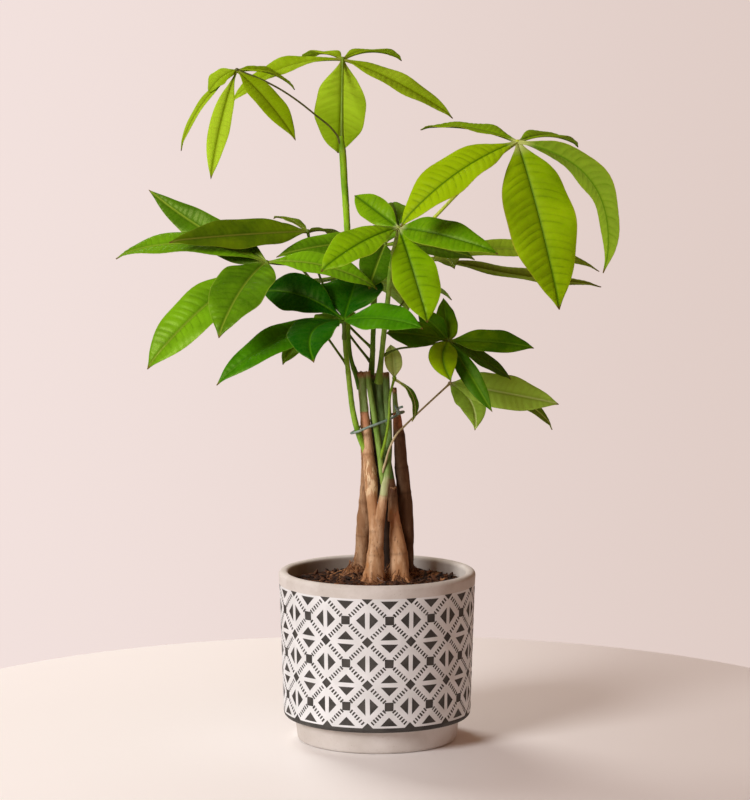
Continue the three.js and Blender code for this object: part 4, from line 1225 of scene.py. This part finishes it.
def leaflet_frame(heading, rise, length, roll):
    """The midrib's chord, the way the blade faces, and the way across it."""
    h, r, turn = (math.radians(v) for v in (heading, rise, roll))
    chord = np.array([math.cos(r) * math.cos(h), math.cos(r) * math.sin(h), math.sin(r)])
    up = unit(np.array([0, 0, 1.0]) - chord * chord[2])
    up = up * math.cos(turn) + np.cross(chord, up) * math.sin(turn)
    return chord * length, up, np.cross(chord, up)


def outline(t, widest):
    """Half width at t as a share of the largest, which lies at widest."""
    warped = t ** (math.log(0.5) / math.log(widest))
    return np.maximum(hermite([o[0] for o in OUTLINE], [o[1] for o in OUTLINE], warped), 0.012)


def add_leaflet(shape, hub, phase, draw, relief, heading, rise, length, width, arch, roll, tone,
                widest=0.5, turn=0):
    """A leaflet: arched midrib, sunken veins, blade puffed between them, waved edge and drip tip.

    t runs from the hub to the tip and a from edge to edge. psi counts the veins, which curve to the tip."""
    relief *= min(1.0, width / FULL_RELIEF)
    chord, up, side = leaflet_frame(heading, rise, length, roll)
    rows = max(18, round(length / BLADE_ROW))
    half_columns = 6 + round(width / 5)
    columns = 2 * half_columns + 1
    t = np.linspace(0, 1, rows)[:, None]
    s = np.linspace(-1, 1, columns)[None, :]
    a = np.sign(s) * np.abs(s) ** 1.2
    tip = hub + chord
    bend = hub + chord * 0.5 + up * 2 * arch
    rib = (1 - t) ** 2 * hub + 2 * t * (1 - t) * bend + t**2 * tip
    tangent = unit(2 * (1 - t) * (bend - hub) + 2 * t * (tip - bend))
    normal = np.cross(side[None, :], tangent)
    tilt = math.radians(turn)
    across = side[None, :] * math.cos(tilt) + normal * math.sin(tilt)
    normal = normal * math.cos(tilt) - side[None, :] * math.sin(tilt)
    share = outline(t[:, 0], widest)[:, None]
    half = share * width / 2
    edge_wave = 0.018 * np.sin(TURN * (3.3 * t + phase * 2)) * np.sign(s)
    sway = 0.010 * length * np.sin(math.pi * t) * math.sin(phase * 9)
    x = a * half * (1 + edge_wave)
    off = np.abs(x)
    spacing = (3.4 + 0.055 * width) * draw.uniform(0.92, 1.08)
    left = np.where(a > 0, 0.32, 0.0)
    swept = t * length - 0.20 * off - 0.012 * off**2
    psi = swept / spacing + left + 0.16 * np.sin(swept * 0.31 + phase * 7 + left * 9)
    number = np.round(psi).astype(int) + np.where(a > 0, 60, 0)
    strengths = draw.uniform(0.3, 1.0, 200)[number]
    reaches = draw.uniform(0.62, 1.02, 200)[number]
    force = strengths * (1 - smooth_step(reaches - 0.3, reaches, np.abs(a)))
    soft = smooth_step(0.0, 0.25, np.abs(a)) * (1 - smooth_step(0.84, 1.0, np.abs(a)) * 0.75)
    soft = soft * smooth_step(0.03, 0.16, t) * (1 - smooth_step(0.9, 1.0, t))
    puff = relief * (0.32 + 0.007 * width) * soft * (np.abs(np.sin(math.pi * psi)) ** 0.8 - 0.45)
    wave = BLADE_WAVE * width * share * np.sin(TURN * (2.6 * t + phase) + np.sign(s))
    cup = BLADE_CUP * half * (2.6 * np.abs(a) - 1.6 * a**2) + wave * np.abs(a) ** 2.5
    groove = -0.5 * np.exp(-((off / 0.9) ** 2)) * (1 - 0.7 * t)
    curl = -0.012 * length * smooth_step(0.88, 1.0, t) ** 2
    lift = cup + puff + groove + curl
    middle = rib[:, None] + across[:, None] * (x + sway)[..., None] + normal[:, None] * lift[..., None]
    thick = 0.5 * BLADE_THICKNESS + 0.55 * np.exp(-t * length / 4.0) + 0 * a
    midrib = np.exp(-((off / 0.75) ** 2)) * (0.95 * (1 - 0.75 * t))
    vein_rib = 0.16 * np.exp(-(((psi - np.round(psi)) * spacing / 0.5) ** 2)) * soft
    taper = np.clip((1.02 - np.abs(a)) * 6, 0.35, 1)
    top = middle + normal[:, None] * (thick * taper)[..., None]
    low = middle - normal[:, None] * (thick * taper + midrib + vein_rib)[..., None]
    count = rows * columns
    upper = grid_faces(rows, columns)
    under = grid_faces(rows, columns, flip=True, start=count)
    edges = [(i * columns + j, columns, turned) for i in range(rows - 1)
             for j, turned in ((0, False), (columns - 1, True))]
    edges += [(i * columns + j, 1, turned) for i, turned in ((0, True), (rows - 1, False))
              for j in range(columns - 1)]
    walls = []
    for start, step, turned in edges:
        quad = (start, start + step, start + step + count, start + count)
        walls.append(quad[::-1] if turned else quad)
    slots = [0] * len(upper) + [1] * len(under) + [0] * len(walls)
    values = dict(psi=psi, off_rib=off, along=t, edge=np.abs(a), force=force, tone=tone)
    both = {key: np.tile(np.broadcast_to(value, (rows, columns)).ravel(), 2) for key, value in values.items()}
    shape.add(np.concatenate([top.reshape(-1, 3), low.reshape(-1, 3)]), upper + under + walls, slots, **both)


def stalk_relief(angle, centres, along):
    """Swellings at a stalk's foot and at its knuckle."""
    foot = 0.45 * np.exp(-((along - 1.5) / 3.0) ** 2)
    return foot + 0.35 * np.exp(-((along - along[-1]) / 3.5) ** 2) + 0 * angle


def make_leaf(node, look, stalk, leaflets):
    look = LOOKS[look]
    draw = np.random.default_rng(sum(map(ord, node)))
    hub = np.array(stalk[-1][:3], float)
    shape = Shape()
    add_stem(shape, stalk, *STALK_TUBE, stalk_relief, 2, off_rib=PLAIN)
    add_ball(shape, hub, KNUCKLE_RADIUS, 2, off_rib=PLAIN)
    for k, leaflet in enumerate(leaflets):
        add_leaflet(shape, hub, 0.37 * k + hub[0] / 100, draw, look.get("relief", 1.0), *leaflet)
    materials = [blade_paint(node + "_upper", look, False), blade_paint(node + "_under", look, True),
                 stalk_paint(node + "_stalk", look)]
    slot = "leaf_bright" if node in BRIGHT_LEAVES else "leaf_dark"
    split_smooth(shape.piece(node + "_blades", materials, slot, node), BLADE_CREASE)


# The stage

def make_floor():
    """A plain round floor, with painted shade making it darker towards the right."""
    shape = Shape()
    edge = STAGE_RADIUS
    turn = round_angles(STAGE_SIDES)
    rings = [np.stack([r * np.cos(turn), r * np.sin(turn), np.full(STAGE_SIDES, z)], -1)
             for r, z in ((0.01, 0), (edge - 6, 0), (edge, -6), (edge, -30), (0.01, -30))]
    shape.add(np.concatenate(rings), grid_faces(len(rings), STAGE_SIDES, closed=True, flip=True))
    paint = Paint("floor", 0.5)
    # Painted shade: the floor darkens towards the right, away from the key light.
    side = paint.span(paint.part("X"), -0.16, 0.24, 0.0, 0.9)
    tone = paint.sum("MULTIPLY_ADD", paint.noise(3, 2), 0.2, side)
    paint.put(paint.shader.inputs["Base Color"], paint.blend(tone, (0.97, 0.96, 0.955), (0.81, 0.765, 0.755)))
    floor = shape.thing("floor", [paint.material], smooth=False)


def make_world():
    """A plain pale backdrop that only the camera sees, with painted light making it brighter on the left, and
    a dim warm light.
    """
    world = bpy.data.worlds.new("studio")
    bpy.context.scene.world = world
    nodes = Nodes(world)
    # Painted light: the backdrop is brighter on the left, towards the key light.
    side = nodes.span(nodes.part("X", "Generated"), -0.16, 0.16)
    seen = nodes.node("Background", nodes.blend(side, (0.90, 0.765, 0.735), (0.735, 0.60, 0.555)))
    light = nodes.node("Background", (1.0, 0.54, 0.35), 0.24)
    camera = nodes.node("LightPath").outputs["Is Camera Ray"]
    mix = nodes.node("MixShader", camera, light.outputs[0], seen.outputs[0])
    nodes.node("OutputWorld", mix.outputs[0])


def make_light(name, place, size, power, colour, glossy=True):
    data = bpy.data.lights.new(name, "AREA")
    data.shape = "DISK"
    data.size = size
    data.energy = power
    data.color = colour
    light = bpy.data.objects.new(name, data)
    light.location = place
    light.visible_glossy = glossy
    light.rotation_mode = "QUATERNION"
    light.rotation_quaternion = (LIGHT_AIM - Vector(place)).to_track_quat("-Z", "Y")
    bpy.context.scene.collection.objects.link(light)


def make_camera():
    """The photograph's view: a long lens 2.5 m in front, a little above, pitched down."""
    data = bpy.data.cameras.new("camera")
    data.sensor_width = SENSOR_WIDTH
    data.lens = FOCAL_PIXELS * SENSOR_WIDTH / LONG_SIDE_PIXELS
    camera = bpy.data.objects.new("camera", data)
    camera.location = CAMERA_PLACE
    camera.rotation_euler = (math.pi / 2 - CAMERA_PITCH, 0, 0)
    bpy.context.scene.collection.objects.link(camera)
    bpy.context.scene.camera = camera


make_camera()
make_world()
make_floor()
make_light("key", (-1.6, -1.72, 1.35), size=1.1, power=59, colour=(1.0, 0.99, 0.985))
make_light("back", (-0.7, 1.2, 1.35), size=0.9, power=22, colour=(1.0, 0.97, 0.92), glossy=False)

bpy.context.scene.view_settings.view_transform = "Standard"

make_pot()
make_soil()
make_chips()
make_fibres()
make_straw()
make_root_mat()
bark = [bark_paint(), cut_paint()]
for name, spec in TRUNKS.items():
    make_trunk(name, spec, bark)
make_tie()
for name, leaf in LEAVES.items():
    make_leaf(name, *leaf)
